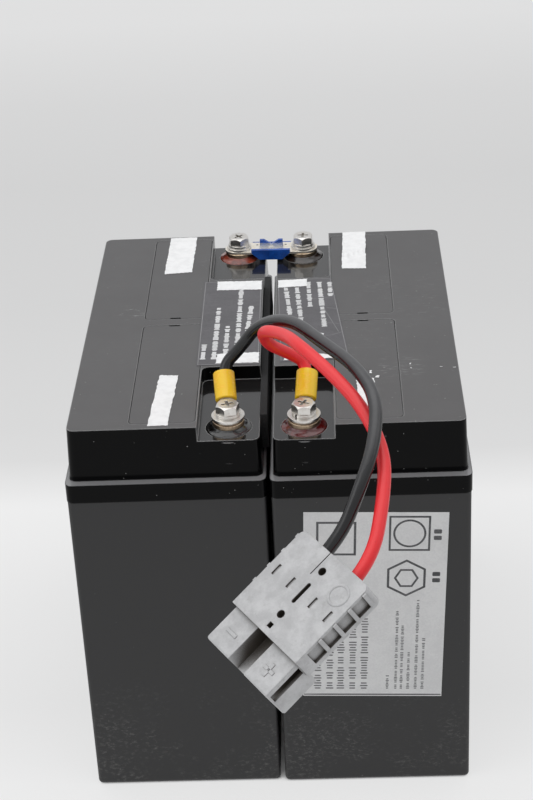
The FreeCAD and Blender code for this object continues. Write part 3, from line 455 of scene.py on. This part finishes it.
resinPour = dict(
    swirl=(3.5 * mm, 4.0, 0.6), swirlFrom=(0.35, 0.7), swirlShare=0.8, roughSpread=0.12,
    rearFrom=(-20 * mm, 20 * mm), depth=0.35 * mm,
    gloss={"Coat Weight": 0.5, "Coat Roughness": 0.04},
)
resinLooks = {
    "redResin": dict(first=(0.130, 0.009, 0.009), second=(0.045, 0.006, 0.005),
                     rear=(0.34, 0.065, 0.036), rough=0.07),
    "blackResin": dict(first=(0.004, 0.004, 0.004), second=(0.012, 0.011, 0.011),
                       rear=(0.030, 0.017, 0.012), rough=0.06),
}


def pouredResin(name):
    look = resinLooks[name]
    pour = resinPour
    material, tree, shader = newMaterial(name)
    place = placeOf(tree)
    swirl = noiseOf(tree, place, *pour["swirl"])
    rear = ramp(tree, axisOf(tree, place, "Y"), *pour["rearFrom"])
    base = tint(tree, rgb(look["first"]), rear, look["rear"])
    swirls = times(tree, ramp(tree, swirl, *pour["swirlFrom"]), pour["swirlShare"])
    base = tint(tree, base, swirls, look["second"])
    rough = mixValue(tree, swirl, look["rough"], look["rough"] + pour["roughSpread"])
    dress(tree, shader, base, rough, bumpOf(tree, swirl, pour["depth"]))
    setSockets(shader, pour["gloss"])
    return material


# clear cover over the fuse

clearLook = dict(first=(0.93, 0.95, 0.97), second=(0.80, 0.84, 0.88), haze=(2 * mm, 3.0, 0.6),
                 rough=(0.04, 0.16), alpha=(0.14, 0.30), gloss={"IOR": 1.49})


def clearPlastic(name):
    look = clearLook
    material, tree, shader = newMaterial(name)
    haze = noiseOf(tree, placeOf(tree), *look["haze"])
    plug(tree, shader.inputs["Base Color"], tint(tree, rgb(look["first"]), haze, look["second"]))
    plug(tree, shader.inputs["Roughness"], mixValue(tree, haze, *look["rough"]))
    plug(tree, shader.inputs["Alpha"], mixValue(tree, haze, *look["alpha"]))
    setSockets(shader, look["gloss"])
    return material


# label films and the ink on them

filmGrain = dict(
    cloud=(12 * mm, 4.0, 0.6), cloudShare=0.6, fine=(0.7 * mm, 2.0, 0.5), fineShare=0.4,
    secondFrom=(0.38, 0.62), rough=(-0.06, 0.12), creases=(16 * mm, 2.0, 0.5, (1, 2.5, 1)),
)
filmLooks = {
    "topLabelFilm": dict(first=(0.080, 0.077, 0.083), second=(0.110, 0.106, 0.114), rough=0.34,
                         crease=0.22 * mm),
    "frontLabelFilm": dict(first=(0.76, 0.76, 0.755), second=(0.69, 0.69, 0.69), rough=0.36,
                           crease=0.05 * mm),
    "paleInk": dict(first=(0.95, 0.95, 0.95), second=(0.80, 0.80, 0.80), rough=0.42,
                    crease=0.02 * mm),
    "darkInk": dict(first=(0.045, 0.047, 0.05), second=(0.11, 0.11, 0.115), rough=0.45,
                    crease=0.02 * mm),
    "greyInk": dict(first=(0.09, 0.09, 0.095), second=(0.19, 0.19, 0.195), rough=0.45,
                    crease=0.02 * mm),
    "rimInk": dict(first=(0.30, 0.295, 0.30), second=(0.20, 0.195, 0.20), rough=0.42,
                   crease=0.02 * mm),
}


def printedFilm(name):
    look = filmLooks[name]
    grain = filmGrain
    material, tree, shader = newMaterial(name)
    place = placeOf(tree)
    cloud = noiseOf(tree, place, *grain["cloud"])
    amount = calc(tree, "ADD", times(tree, cloud, grain["cloudShare"]),
                  times(tree, noiseOf(tree, place, *grain["fine"]), grain["fineShare"]))
    base = tint(tree, rgb(look["first"]), ramp(tree, amount, *grain["secondFrom"]), look["second"])
    rough = mixValue(tree, cloud, *[look["rough"] + v for v in grain["rough"]])
    creases = noiseOf(tree, place, *grain["creases"])
    dress(tree, shader, base, rough, bumpOf(tree, creases, look["crease"]))
    return material


finishes = {}
for names, make in ((lidEdges, lidPlastic), (["casePlastic"], casePlastic),
                    (["housingPlastic"], housingPlastic), (["clearPlastic"], clearPlastic),
                    (metalLooks, wornMetal), (softLooks, softFinish), (jacketLooks, cableJacket),
                    (resinLooks, pouredResin), (filmLooks, printedFilm)):
    for name in names:
        finishes[name] = make(name)

nodeFinishes = {
    "connector_housing": "housingPlastic", "fuse_body": "bluePlastic",
    "fuse_window": "clearPlastic", "fuse_link": "tinPlatedLink",
    "terminal_bolts": "platedSteel", "spring_washers": "platedSteel",
    "flat_washers": "platedSteel", "black_lug": "tinnedCopper", "red_lug": "tinnedCopper",
    "black_lug_sleeve": "yellowSleeve", "red_lug_sleeve": "yellowSleeve",
    "black_contact": "silveredContact", "red_contact": "silveredContact",
    "contact_springs": "springSteel", "post_o_rings": "valveRubber", "foam_pads": "blackFoam",
    "gap_foam_strip": "blackFoam", "right_front_label": "frontLabelFilm",
    "black_cable": "blackJacket", "red_cable": "redJacket",
}
blockFinishes = {
    "case": "casePlastic", "lid": "lidPlastic", "vent_cover_front": "coverPlastic",
    "vent_cover_rear": "coverPlastic", "valve_caps": "valveRubber",
    "positive_plates": "leadDioxide", "negative_plates": "spongyLead",
    "separators": "glassMat", "cell_straps": "strapLead",
    "post_positive": "postMetal", "post_negative": "postMetal", "seal_positive": "redResin",
    "seal_negative": "blackResin", "top_label": "topLabelFilm", "tape_scraps": "paperTape",
}
for side in ("left", "right"):
    for part, finish in blockFinishes.items():
        nodeFinishes[side + "_" + part] = finish
for nodeName, finish in nodeFinishes.items():
    mesh = nodes[nodeName].data
    mesh.materials.clear()
    mesh.materials.append(finishes[finish])
print("materials on", len(nodeFinishes), "nodes")


# modelling helpers

def clearSelection():
    if bpy.context.mode != "OBJECT":
        bpy.ops.object.mode_set(mode="OBJECT")
    bpy.ops.object.select_all(action="DESELECT")


def activate(piece):
    clearSelection()
    piece.select_set(True)
    bpy.context.view_layer.objects.active = piece


def joinPieces(pieces):
    clearSelection()
    for piece in pieces:
        piece.select_set(True)
    bpy.context.view_layer.objects.active = pieces[0]
    bpy.ops.object.join()
    return pieces[0]


def addWall(piece, thickness, offset):
    wall = piece.modifiers.new("wall", "SOLIDIFY")
    wall.thickness = thickness
    wall.offset = offset


def addWave(piece, size, strength, middle=0.5, group=""):  # lifts and lowers the surface
    clouds = bpy.data.textures.new("clouds", "CLOUDS")
    clouds.noise_scale = size
    wave = piece.modifiers.new("wave", "DISPLACE")
    wave.texture = clouds
    wave.texture_coords = "GLOBAL"
    wave.direction = "Z"
    wave.strength = strength
    wave.mid_level = middle
    wave.vertex_group = group


def applyModifiers(piece):
    activate(piece)
    for modifier in list(piece.modifiers):
        bpy.ops.object.modifier_apply(modifier=modifier.name)


def applyPlace(piece):
    activate(piece)
    bpy.ops.object.transform_apply(location=True, rotation=True, scale=True)


def settle(piece, name, finish, replaced=None):  # its place goes into its mesh
    applyPlace(piece)
    piece.name = name
    piece.data.name = name
    piece.data.materials.clear()
    piece.data.materials.append(finishes[finish])
    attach(piece, "root")
    if replaced:
        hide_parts(replaced)
    return piece


def pickVerts(piece, test):  # in edit mode, by place
    bpy.ops.mesh.select_mode(type="VERT")
    bpy.ops.mesh.select_all(action="DESELECT")
    bpy.ops.object.mode_set(mode="OBJECT")
    for vertex in piece.data.vertices:
        vertex.select = test(vertex.co)
    bpy.ops.object.mode_set(mode="EDIT")


# cables: control points of each centre line in millimetres, from the lug to the connector, and
# what hangs on each cable

cableRound = dict(order=3, lengthSteps=24, roundSteps=8)
cableSettings = {
    "blackCable": dict(
        node="black_cable", finish="blackJacket", diameter=4.6 * mm, length=186.1 * mm,
        carries=["connector_housing", "black_contact", "contact_springs"],
        route=[(-15.53, -64.35, 172.19), (-16.2, -57.7, 177.4), (-9.5, -59.0, 185.0),
               (-1.5, -62.5, 197.5), (11.0, -84.0, 210.0), (23.0, -108.0, 211.5),
               (33.0, -126.0, 212.5), (40.0, -143.5, 209.5), (38.5, -158.0, 199.5),
               (33.0, -167.5, 188.0), (26.27, -173.06, 173.04), (18.37, -177.9, 167.11)]),
    "redCable": dict(
        node="red_cable", finish="redJacket", diameter=4.6 * mm, length=187.4 * mm,
        carries=["connector_housing", "red_contact"],
        route=[(15.53, -65.22, 172.19), (16.2, -58.2, 177.7), (9.2, -60.0, 183.2),
               (1.5, -68.0, 191.5), (0.0, -80.0, 203.5), (8.5, -95.0, 209.5),
               (14.5, -113.5, 214.0), (25.0, -127.5, 210.5), (35.0, -140.5, 204.5),
               (42.0, -154.0, 194.5), (41.0, -168.5, 185.5), (36.35, -185.72, 171.82),
               (27.73, -191.0, 165.35)]),
}


def makeCable(name):
    look = cableSettings[name]
    line = bpy.data.curves.new(name, "CURVE")
    line.dimensions = "3D"
    spline = line.splines.new("NURBS")
    spline.points.add(len(look["route"]) - 1)
    for point, (x, y, z) in zip(spline.points, look["route"]):
        point.co = (x * mm, y * mm, z * mm, 1.0)
    spline.order_u = cableRound["order"]
    spline.use_endpoint_u = True
    spline.resolution_u = cableRound["lengthSteps"]
    line.bevel_depth = look["diameter"] / 2
    line.bevel_resolution = cableRound["roundSteps"]
    line.use_fill_caps = True
    line.materials.append(finishes[look["finish"]])
    piece = bpy.data.objects.new(name, line)
    bpy.context.scene.collection.objects.link(piece)
    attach(piece, "root")
    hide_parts(look["node"])


for name in cableSettings:
    makeCable(name)
print("cables made")


# torn paper tape: four corners in millimetres and what the scrap lies on, whose height is given
# too; a crease is (number of the scrap, start, end, reach, rise)

tapeSettings = dict(
    thickness=0.12 * mm, tear=0.22 * mm, seed=11, lid=167.0, label=167.15,
    cuts=26, smallCuts=5, smallEdge=3.0, wave=5 * mm, lift=0.12 * mm, liftMiddle=0.1,
    creaseFoot=2.5, creaseSmooth=0.5, creasePasses=2,
    leftCreases=[], rightCreases=[(0, (31.0, 60.0), (42.0, 66.5), 1.3, 1.1)],
    left=[[(-46.0, 48.2), (-34.0, 49.5), (-33.5, 86.0), (-45.2, 86.0), "lid"],
          [(-42.1, -44.6), (-34.6, -45.1), (-36.7, -84.2), (-44.2, -84.2), "lid"],
          [(-22.4, 30.0), (-3.4, 29.5), (-3.4, 38.0), (-22.4, 38.4), "label"],
          [(-20.5, -36.5), (-3.4, -36.5), (-3.4, -28.0), (-20.0, -28.5), "label"]],
    right=[[(31.0, 48.0), (41.5, 47.5), (42.3, 86.0), (32.2, 86.0), "lid"],
           [(34.5, -48.5), (41.6, -52.5), (43.0, -84.2), (35.4, -84.2), "lid"],
           [(3.6, 30.5), (15.9, 31.5), (15.9, 38.4), (3.6, 37.6), "label"],
           [(6.5, -35.6), (26.0, -34.8), (24.0, -31.8), (7.0, -27.5), "label"],
           [(18.2, -15.6), (21.6, -17.6), (22.6, -13.4), (19.6, -12.4), "label"],
           [(39.9, -48.2), (40.9, -48.4), (40.7, -45.8), (40.0, -46.0), "lid"],
           [(42.0, -51.8), (43.6, -52.0), (43.4, -50.4), (42.6, -50.2), "lid"],
           [(55.8, -41.7), (56.3, -41.8), (56.3, -40.8), (55.9, -40.9), "lid"],
           [(55.8, -45.2), (56.4, -45.2), (56.3, -44.6), (55.9, -44.6), "lid"],
           [(67.5, -44.9), (68.3, -44.9), (68.3, -44.6), (67.5, -44.6), "lid"],
           [(72.6, -45.6), (73.4, -45.6), (73.4, -45.3), (72.6, -45.3), "lid"]],
)


def makeScrap(corners, level, seed):
    look = tapeSettings
    half = 1 * mm  # of the plane it starts from
    touch = 0.01 * mm  # how near a corner counts as there
    z = level * mm + look["thickness"] / 2
    middle = [sum(c[k] for c in corners) / 4 * mm for k in (0, 1)]
    clearSelection()
    bpy.ops.mesh.primitive_plane_add(size=2 * half, location=(middle[0], middle[1], z))
    piece = bpy.context.active_object
    bpy.ops.object.transform_apply(location=True)
    bpy.ops.object.mode_set(mode="EDIT")
    for corner, (sx, sy) in zip(corners, ((-1, -1), (1, -1), (1, 1), (-1, 1))):
        start = Vector((middle[0] + sx * half, middle[1] + sy * half, z))
        pickVerts(piece, lambda co: (co - start).length < touch)
        bpy.ops.transform.translate(value=(corner[0] * mm - start.x, corner[1] * mm - start.y, 0))
    bpy.ops.mesh.select_all(action="SELECT")
    small = math.dist(corners[0], corners[1]) < look["smallEdge"]
    bpy.ops.mesh.subdivide(number_cuts=look["smallCuts"] if small else look["cuts"])
    bpy.ops.mesh.select_all(action="DESELECT")
    bpy.ops.mesh.select_non_manifold()
    bpy.ops.transform.vertex_random(offset=look["tear"], uniform=1.0, seed=seed)
    bpy.ops.mesh.select_all(action="SELECT")
    bpy.ops.transform.resize(value=(1, 1, 0), center_override=(0, 0, z))
    bpy.ops.object.mode_set(mode="OBJECT")
    addWave(piece, look["wave"], look["lift"], look["liftMiddle"])
    addWall(piece, look["thickness"], 0)
    applyModifiers(piece)
    return piece


def creaseScrap(piece, start, end, reach, rise):  # a ridge along a slanted line
    look = tapeSettings
    slope = (end[1] - start[1]) / (end[0] - start[0])

    def offLine(co):
        return abs(co.y / mm - start[1] - slope * (co.x / mm - start[0]))

    activate(piece)
    bpy.ops.object.mode_set(mode="EDIT")
    pickVerts(piece, lambda co: offLine(co) < reach)
    bpy.ops.transform.translate(value=(0, 0, rise * mm))
    pickVerts(piece, lambda co: offLine(co) < reach * look["creaseFoot"])
    bpy.ops.mesh.vertices_smooth(factor=look["creaseSmooth"], repeat=look["creasePasses"],
                                 xaxis=False, yaxis=False)
    bpy.ops.object.mode_set(mode="OBJECT")


for side in ("left", "right"):
    scraps = [makeScrap(row[:4], tapeSettings[row[4]], tapeSettings["seed"] + number)
              for number, row in enumerate(tapeSettings[side])]
    for number, *crease in tapeSettings[side + "Creases"]:
        creaseScrap(scraps[number], *crease)
    settle(joinPieces(scraps), side + "TapeScraps", "paperTape",
           side + "_tape_scraps")
print("tape scraps made")


# print on the top labels, in millimetres: rows of plain strokes as (x at start, x at end, y at
# start, y at end), a frame round each label and pale lines along the creases across the right one,
# a painted highlight

topPrint = dict(
    level=167.16, ink=0.02 * mm, stroke=0.66, step=0.92, tall=2.3, short=1.7, frame=0.32,
    crease=0.22, clip=0.12, seed=5, wordStrokes=(3, 9), tallShare=0.35,
    left=[(-25.8, -25.6, -32.0, -20.0), (-21.4, -20.9, -32.2, 13.7), (-16.9, -16.7, -29.0, -3.3),
          (-12.4, -12.0, -24.0, 30.3), (-8.7, -7.3, -10.2, 15.3)],
    right=[(25.5, 25.7, 34.4, 21.5), (21.1, 22.9, 34.7, -7.0), (16.4, 17.2, 35.1, 11.0),
           (11.6, 13.9, 29.9, -10.5), (6.9, 8.8, 30.0, 5.0)],
    leftFrame=[(-27.5, -37.0), (-3.7, -37.0), (-3.7, 38.3), (-27.5, 38.3)],
    rightFrame=[(5.4, -35.0), (31.9, -34.0), (25.8, 38.3), (3.6, 38.3)],
    leftCreases=[],
    rightCreases=[[(15.7, 18.8), (23.0, 19.6), (28.2, 21.3)],
                  [(21.5, 14.4), (24.6, 3.0), (28.6, -12.0)],
                  [(21.2, -16.0), (26.0, -14.6), (30.0, -12.2)],
                  [(24.0, 10.2), (29.0, 8.8)], [(23.6, -3.4), (29.8, -5.2)]],
)


def makeStroke():  # one stroke with clipped corners, a metre each way, to be copied and scaled
    clearSelection()
    bpy.ops.mesh.primitive_plane_add(size=1, location=(0, 0, 0))
    stroke = bpy.context.active_object
    bpy.ops.object.mode_set(mode="EDIT")
    bpy.ops.mesh.select_all(action="SELECT")
    bpy.ops.mesh.bevel(offset=topPrint["clip"], segments=1, affect="VERTICES")
    bpy.ops.object.mode_set(mode="OBJECT")
    return stroke


firstStroke = makeStroke()


def flatBar(x, y, width, length, z, turn=0.0):
    bar = firstStroke.copy()
    bar.data = firstStroke.data.copy()
    bpy.context.scene.collection.objects.link(bar)
    bar.location = (x * mm, y * mm, z * mm)
    bar.rotation_euler = (0, 0, turn)
    bar.scale = (width * mm, length * mm, 1)
    return bar


def strokeRow(x0, x1, y0, y1, look, chance):  # words of uneven length, made of plain strokes
    length = math.hypot(x1 - x0, y1 - y0)
    turn = math.atan2(x0 - x1, y1 - y0) if y1 > y0 else math.atan2(x1 - x0, y0 - y1)
    bars = []
    along = 0.0
    left = chance.randint(*topPrint["wordStrokes"])
    while along < length:
        share = along / length
        if left > 0:
            height = look["tall"] if chance.random() < topPrint["tallShare"] else look["short"]
            x, y = x0 + (x1 - x0) * share, y0 + (y1 - y0) * share
            bars.append(flatBar(x, y, height, look["stroke"], look["level"], turn))
            left -= 1
        else:
            left = chance.randint(*topPrint["wordStrokes"])
        along += look["step"]
    return bars


def lineBars(corners, width, z):
    bars = []
    for (x0, y0), (x1, y1) in zip(corners, corners[1:]):
        length = math.hypot(x1 - x0, y1 - y0)
        turn = math.atan2(x0 - x1, y1 - y0)
        bars.append(flatBar((x0 + x1) / 2, (y0 + y1) / 2, width, length, z, turn))
    return bars


def addInk(piece):  # a hair's thickness over the film
    addWall(piece, topPrint["ink"], 1)
    applyModifiers(piece)


chance = random.Random(topPrint["seed"])
for side in ("left", "right"):
    bars = [bar for row in topPrint[side] for bar in strokeRow(*row, topPrint, chance)]
    addInk(settle(joinPieces(bars), side + "LabelStrokes", "paleInk"))
    corners = topPrint[side + "Frame"]
    bars = lineBars(corners + corners[:1], topPrint["frame"], topPrint["level"])
    # painted highlight: pale lines along the folds of the creases
    for crease in topPrint[side + "Creases"]:
        bars += lineBars(crease, topPrint["crease"], topPrint["level"])
    addInk(settle(joinPieces(bars), side + "LabelFrame", "rimInk"))
print("top label print made")


# print on the front label, in millimetres, drawn flat with u across and v up from its centre and
# then stood up: rows of strokes, outlines as (sides, radius, u, v, line, turn) and bars as (u, v,
# width, height)

frontPrint = dict(
    centre=(38.9, 86.7), turn=2.0, seed=9, proud=0.01 * mm,
    big=dict(level=0.0, stroke=0.56, step=1.25, tall=3.0, short=2.3),
    small=dict(level=0.0, stroke=0.42, step=0.76, tall=1.25, short=0.9),
    bigRows=[(-21.9, -21.9, -39.6, 4.0), (-17.1, -17.1, -39.6, 5.0), (-12.8, -12.8, -39.6, 2.0),
             (-8.1, -8.1, -39.6, 6.0), (-3.5, -3.5, -39.6, 4.0)],
    smallRows=[(5.8, 5.8, -39.6, -33.2), (9.1, 9.1, -39.6, -1.2), (11.3, 11.3, -39.6, -8.6),
               (14.0, 14.0, -39.6, -21.6), (17.0, 17.0, -39.6, 3.2), (19.7, 19.7, -39.6, -14.6)],
    shapes=[(4, 10.8, -15.1, 31.6, 0.9, 45), (4, 11.2, 12.9, 34.0, 0.8, 45),
            (40, 6.3, 12.9, 34.0, 0.8, 0), (6, 8.6, 12.1, 13.5, 0.9, 0),
            (6, 4.8, 12.1, 13.5, 0.8, 30)],
    bars=[(0.0, -42.7, 54.6, 0.6), (23.6, 34.9, 3.0, 1.9), (23.6, 32.0, 3.0, 1.9),
          (23.6, 15.4, 3.0, 1.9), (23.6, 12.5, 3.0, 1.9)],
)


def outlineShape(sides, radius, u, v, line, turn):
    bpy.ops.mesh.primitive_circle_add(vertices=sides, radius=radius * mm, fill_type="NGON",
                                      location=(u * mm, v * mm, 0),
                                      rotation=(0, 0, math.radians(turn)))
    shape = bpy.context.active_object
    bpy.ops.object.mode_set(mode="EDIT")
    bpy.ops.mesh.select_mode(type="FACE")
    bpy.ops.mesh.select_all(action="SELECT")
    bpy.ops.mesh.inset(thickness=line * mm)
    bpy.ops.mesh.delete(type="FACE")
    bpy.ops.object.mode_set(mode="OBJECT")
    return shape


def standOnLabel(piece, name, finish):
    applyPlace(piece)
    u, v = frontPrint["centre"]
    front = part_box("right_front_label")[0][1] - frontPrint["proud"]
    turn = Matrix.Rotation(math.radians(frontPrint["turn"]), 4, "Y")
    stand = Matrix.Rotation(math.radians(90), 4, "X")
    piece.matrix_world = Matrix.Translation((u * mm, front, v * mm)) @ turn @ stand
    addInk(settle(piece, name, finish))


chance = random.Random(frontPrint["seed"])
bars = []
for size in ("big", "small"):
    for row in frontPrint[size + "Rows"]:
        bars += strokeRow(*row, frontPrint[size], chance)
standOnLabel(joinPieces(bars), "frontLabelStrokes", "greyInk")
clearSelection()
shapes = [outlineShape(*shape) for shape in frontPrint["shapes"]]
shapes += [flatBar(u, v, wide, tall, 0.0) for u, v, wide, tall in frontPrint["bars"]]
standOnLabel(joinPieces(shapes), "frontLabelShapes", "darkInk")
bpy.data.objects.remove(firstStroke)
print("front label print made")


# resin round each post: (radius, height) in millimetres, from the post's rim over the swell and
# down into the recess floor

resinSettings = dict(
    steps=[(6.02, 162.85), (6.25, 162.78), (6.6, 162.35), (7.1, 161.85), (7.8, 161.45),
           (8.5, 161.22), (8.72, 161.02), (8.73, 160.2), (6.02, 160.2)],
    sides=72, swell=0.30 * mm, size=4.5 * mm, swellBand=(160.9 * mm, 162.8 * mm), smooth=2,
)


def makeResin(nodeName, finish):
    look = resinSettings
    low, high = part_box(nodeName)
    x, y = (low[0] + high[0]) / 2, (low[1] + high[1]) / 2
    radius, height = look["steps"][0]
    clearSelection()
    bpy.ops.mesh.primitive_circle_add(vertices=look["sides"], radius=radius * mm,
                                      location=(x, y, height * mm))
    piece = bpy.context.active_object
    bpy.ops.object.transform_apply(location=True)
    bpy.ops.object.mode_set(mode="EDIT")
    bpy.ops.mesh.select_mode(type="VERT")
    bpy.ops.mesh.select_all(action="SELECT")
    for nextRadius, nextHeight in look["steps"][1:]:
        step = (0, 0, (nextHeight - height) * mm)
        bpy.ops.mesh.extrude_region_move(TRANSFORM_OT_translate={"value": step})
        grow = nextRadius / radius
        bpy.ops.transform.resize(value=(grow, grow, 1), center_override=(x, y, nextHeight * mm))
        radius, height = nextRadius, nextHeight
    bpy.ops.mesh.select_all(action="DESELECT")
    bpy.ops.mesh.select_non_manifold()
    bpy.ops.mesh.bridge_edge_loops()
    bpy.ops.mesh.select_all(action="SELECT")
    bpy.ops.mesh.normals_make_consistent(inside=False)
    bpy.ops.object.mode_set(mode="OBJECT")
    bottom, top = look["swellBand"]
    surface = piece.vertex_groups.new(name="surface")
    surface.add([v.index for v in piece.data.vertices if bottom < v.co.z < top], 1.0, "REPLACE")
    addWave(piece, look["size"], look["swell"], group="surface")
    fine = piece.modifiers.new("fine", "SUBSURF")
    fine.levels = fine.render_levels = look["smooth"]
    applyModifiers(piece)
    bpy.ops.object.shade_smooth()
    side, pole = nodeName.split("_seal_")
    settle(piece, side + "Resin" + pole.capitalize(), finish, nodeName)


for side in ("left", "right"):
    makeResin(side + "_seal_positive", "redResin")
    makeResin(side + "_seal_negative", "blackResin")
print("resin made")


# raised marks moulded on the connector, in millimetres in its own frame: x to the mating end, z out
# of its top; each sinks a little into the plastic, and the ring is (x, y, radius, line)

markSettings = dict(
    place=(24.7, -184.2, 173.1), yaw=-148.5, pitch=32.6, roll=-7.4,
    noseTop=-2.1, rise=0.28, sink=0.15, soft=0.12 * mm, softSteps=2,
    plus=(41.0, 10.6), minus=(41.0, -10.6), arm=5.2, width=1.3,
    ring=(8.6, 11.4, 3.6, 1.2), ringLevel=-0.2, ringSides=40, lineSides=10,
)


def raisedBar(x, y, length, width):
    look = markSettings
    middle = look["noseTop"] + (look["rise"] - look["sink"]) / 2
    bpy.ops.mesh.primitive_cube_add(size=1, location=(x * mm, y * mm, middle * mm))
    bar = bpy.context.active_object
    bar.scale = (length * mm, width * mm, (look["rise"] + look["sink"]) * mm)
    return bar


def makeMarks():
    look = markSettings
    clearSelection()
    bars = [raisedBar(*look["plus"], look["arm"], look["width"]),
            raisedBar(*look["plus"], look["width"], look["arm"]),
            raisedBar(*look["minus"], look["width"], look["arm"])]
    x, y, radius, line = look["ring"]
    bpy.ops.mesh.primitive_torus_add(location=(x * mm, y * mm, look["ringLevel"] * mm),
                                     major_radius=radius * mm, minor_radius=line / 2 * mm,
                                     major_segments=look["ringSides"],
                                     minor_segments=look["lineSides"])
    bars.append(bpy.context.active_object)
    marks = joinPieces(bars)
    applyPlace(marks)
    turns = [Matrix.Rotation(math.radians(look[key]), 4, axis)
             for key, axis in (("yaw", "Z"), ("pitch", "Y"), ("roll", "X"))]
    move = Matrix.Translation([v * mm for v in look["place"]])
    marks.matrix_world = move @ (turns[0] @ turns[1] @ turns[2])
    settle(marks, "connectorMarks", "housingPlastic")
    soft = marks.modifiers.new("soft", "BEVEL")
    soft.width = look["soft"]
    soft.segments = look["softSteps"]
    applyModifiers(marks)


makeMarks()
print("connector marks made")


# camera: place in metres, turns in degrees, lens and sensor in millimetres

cameraSettings = dict(place=(0.02515, -0.6924, 0.51472), pitch=29.05, yaw=-2.29, roll=-2.92,
                      lens=84.735, sensor=36.0)


def makeCamera():
    look = cameraSettings
    pitch, yaw, roll = (math.radians(look[key]) for key in ("pitch", "yaw", "roll"))
    level = math.cos(pitch)
    forward = Vector((math.sin(yaw) * level, math.cos(yaw) * level, -math.sin(pitch)))
    right = forward.cross(Vector((0, 0, 1))).normalized()
    up = right.cross(forward)
    turnedRight = math.cos(roll) * right + math.sin(roll) * up
    turnedUp = math.cos(roll) * up - math.sin(roll) * right
    data = bpy.data.cameras.new("camera")
    data.lens = look["lens"]
    data.sensor_width = look["sensor"]
    camera = bpy.data.objects.new("camera", data)
    bpy.context.scene.collection.objects.link(camera)
    turn = Matrix((turnedRight, turnedUp, -forward)).transposed().to_4x4()
    camera.matrix_world = Matrix.Translation(look["place"]) @ turn
    bpy.context.scene.camera = camera


# pale paper on the floor, running far back: its tone as it is seen goes by y in metres, a painted
# light and shade of a sweep, and round the object's foot that tone fades, a painted shadow

floorSettings = dict(
    size=14.0, cuts=3, paper=(0.80, 0.80, 0.80), rough=0.9, specular=0.1,
    grain=(3 * mm, 3.0, 0.6), depth=0.05 * mm, seen=0.70, footShadowReach=30 * mm, footShadowFrom=(0.05, 0.50),
    tones=[(-0.30, 0.92), (-0.089, 0.92), (-0.035, 0.86), (0.040, 0.89), (0.128, 0.94),
           (0.175, 0.735), (0.212, 0.70), (0.362, 0.65), (0.557, 0.64), (0.722, 0.69),
           (0.926, 0.80), (1.30, 0.84)],
)


def seenRay(tree):  # 1 for what the camera sees, directly or in gloss and glass
    rays = addNode(tree, "ShaderNodeLightPath").outputs
    mirrored = calc(tree, "MAXIMUM", rays["Is Glossy Ray"], rays["Is Transmission Ray"])
    return calc(tree, "MAXIMUM", rays["Is Camera Ray"], mirrored)


def floorTone(tree, place):  # the seen tone along y, a painted light and shade of a sweep
    tones = floorSettings["tones"]
    front, rear = tones[0][0], tones[-1][0]
    along = calc(tree, "SUBTRACT", axisOf(tree, place, "Y"), front)
    along = calc(tree, "DIVIDE", along, rear - front)
    steps = addNode(tree, "ShaderNodeValToRGB", {"Fac": along})
    elements = steps.color_ramp.elements
    while len(elements) < len(tones):
        elements.new(0.5)  # anywhere, it is moved below
    for element, (y, tone) in zip(elements, tones):
        element.position = (y - front) / (rear - front)
        element.color = (tone, tone, tone, 1.0)
    return steps.outputs["Color"]


def makeFloor():
    look = floorSettings
    clearSelection()
    bpy.ops.mesh.primitive_plane_add(size=look["size"], location=(0, 0, 0))
    floor = bpy.context.active_object
    bpy.ops.object.mode_set(mode="EDIT")
    bpy.ops.mesh.select_all(action="SELECT")
    bpy.ops.mesh.subdivide(number_cuts=look["cuts"])
    bpy.ops.object.mode_set(mode="OBJECT")
    floor.name = "paperFloor"
    material, tree, shader = newMaterial("floorPaper")
    place = placeOf(tree)
    setSockets(shader, {"Base Color": rgb(look["paper"]), "Roughness": look["rough"],
                        "Specular IOR Level": look["specular"]})
    grain = noiseOf(tree, place, *look["grain"])
    plug(tree, shader.inputs["Normal"], bumpOf(tree, grain, look["depth"]))
    glow = addNode(tree, "ShaderNodeEmission", {"Color": floorTone(tree, place)})
    # painted shadow: near the object's foot the seen glow fades by an occlusion mask
    clearOfFootShadow = ramp(tree, openShare(tree, look["footShadowReach"]), *look["footShadowFrom"])
    seen = times(tree, seenRay(tree), clearOfFootShadow, look["seen"])
    both = addNode(tree, "ShaderNodeMixShader", {0: seen, 1: shader.outputs[0], 2: glow.outputs[0]})
    plug(tree, tree.nodes["Material Output"].inputs["Surface"], both.outputs[0])
    floor.data.materials.append(material)


# soft square lamps, all aimed at the object, and a pale world

lampAim = (0.0, 0.0, 0.1)
lampSettings = {
    "overhead": dict(place=(-0.15, 0.0, 1.7), size=2.0, power=14.8),
    "leftSide": dict(place=(-1.6, -0.6, 0.9), size=1.2, power=5.5),
    "rightSide": dict(place=(1.6, -0.3, 1.1), size=1.2, power=2.7),
}
worldSettings = dict(colour=(0.97, 0.98, 1.0), strength=0.45, seen=0.74)


def makeLamp(name):
    look = lampSettings[name]
    data = bpy.data.lights.new(name, "AREA")
    data.shape = "SQUARE"
    data.size = look["size"]
    data.energy = look["power"]
    lamp = bpy.data.objects.new(name, data)
    bpy.context.scene.collection.objects.link(lamp)
    lamp.location = look["place"]
    aim = Vector(lampAim) - Vector(look["place"])
    lamp.rotation_euler = aim.to_track_quat("-Z", "Y").to_euler()


def makeWorld():
    look = worldSettings
    world = bpy.data.worlds.new("studioWorld")
    bpy.context.scene.world = world
    world.use_nodes = True
    tree = world.node_tree
    background = tree.nodes["Background"]
    setSockets(background, {"Color": rgb(look["colour"])})
    strength = mixValue(tree, seenRay(tree), look["strength"], look["seen"])
    plug(tree, background.inputs["Strength"], strength)


makeCamera()
makeFloor()
makeWorld()
for name in lampSettings:
    makeLamp(name)
bpy.context.scene.view_settings.view_transform = "Standard"
print("camera, floor and lamps made")
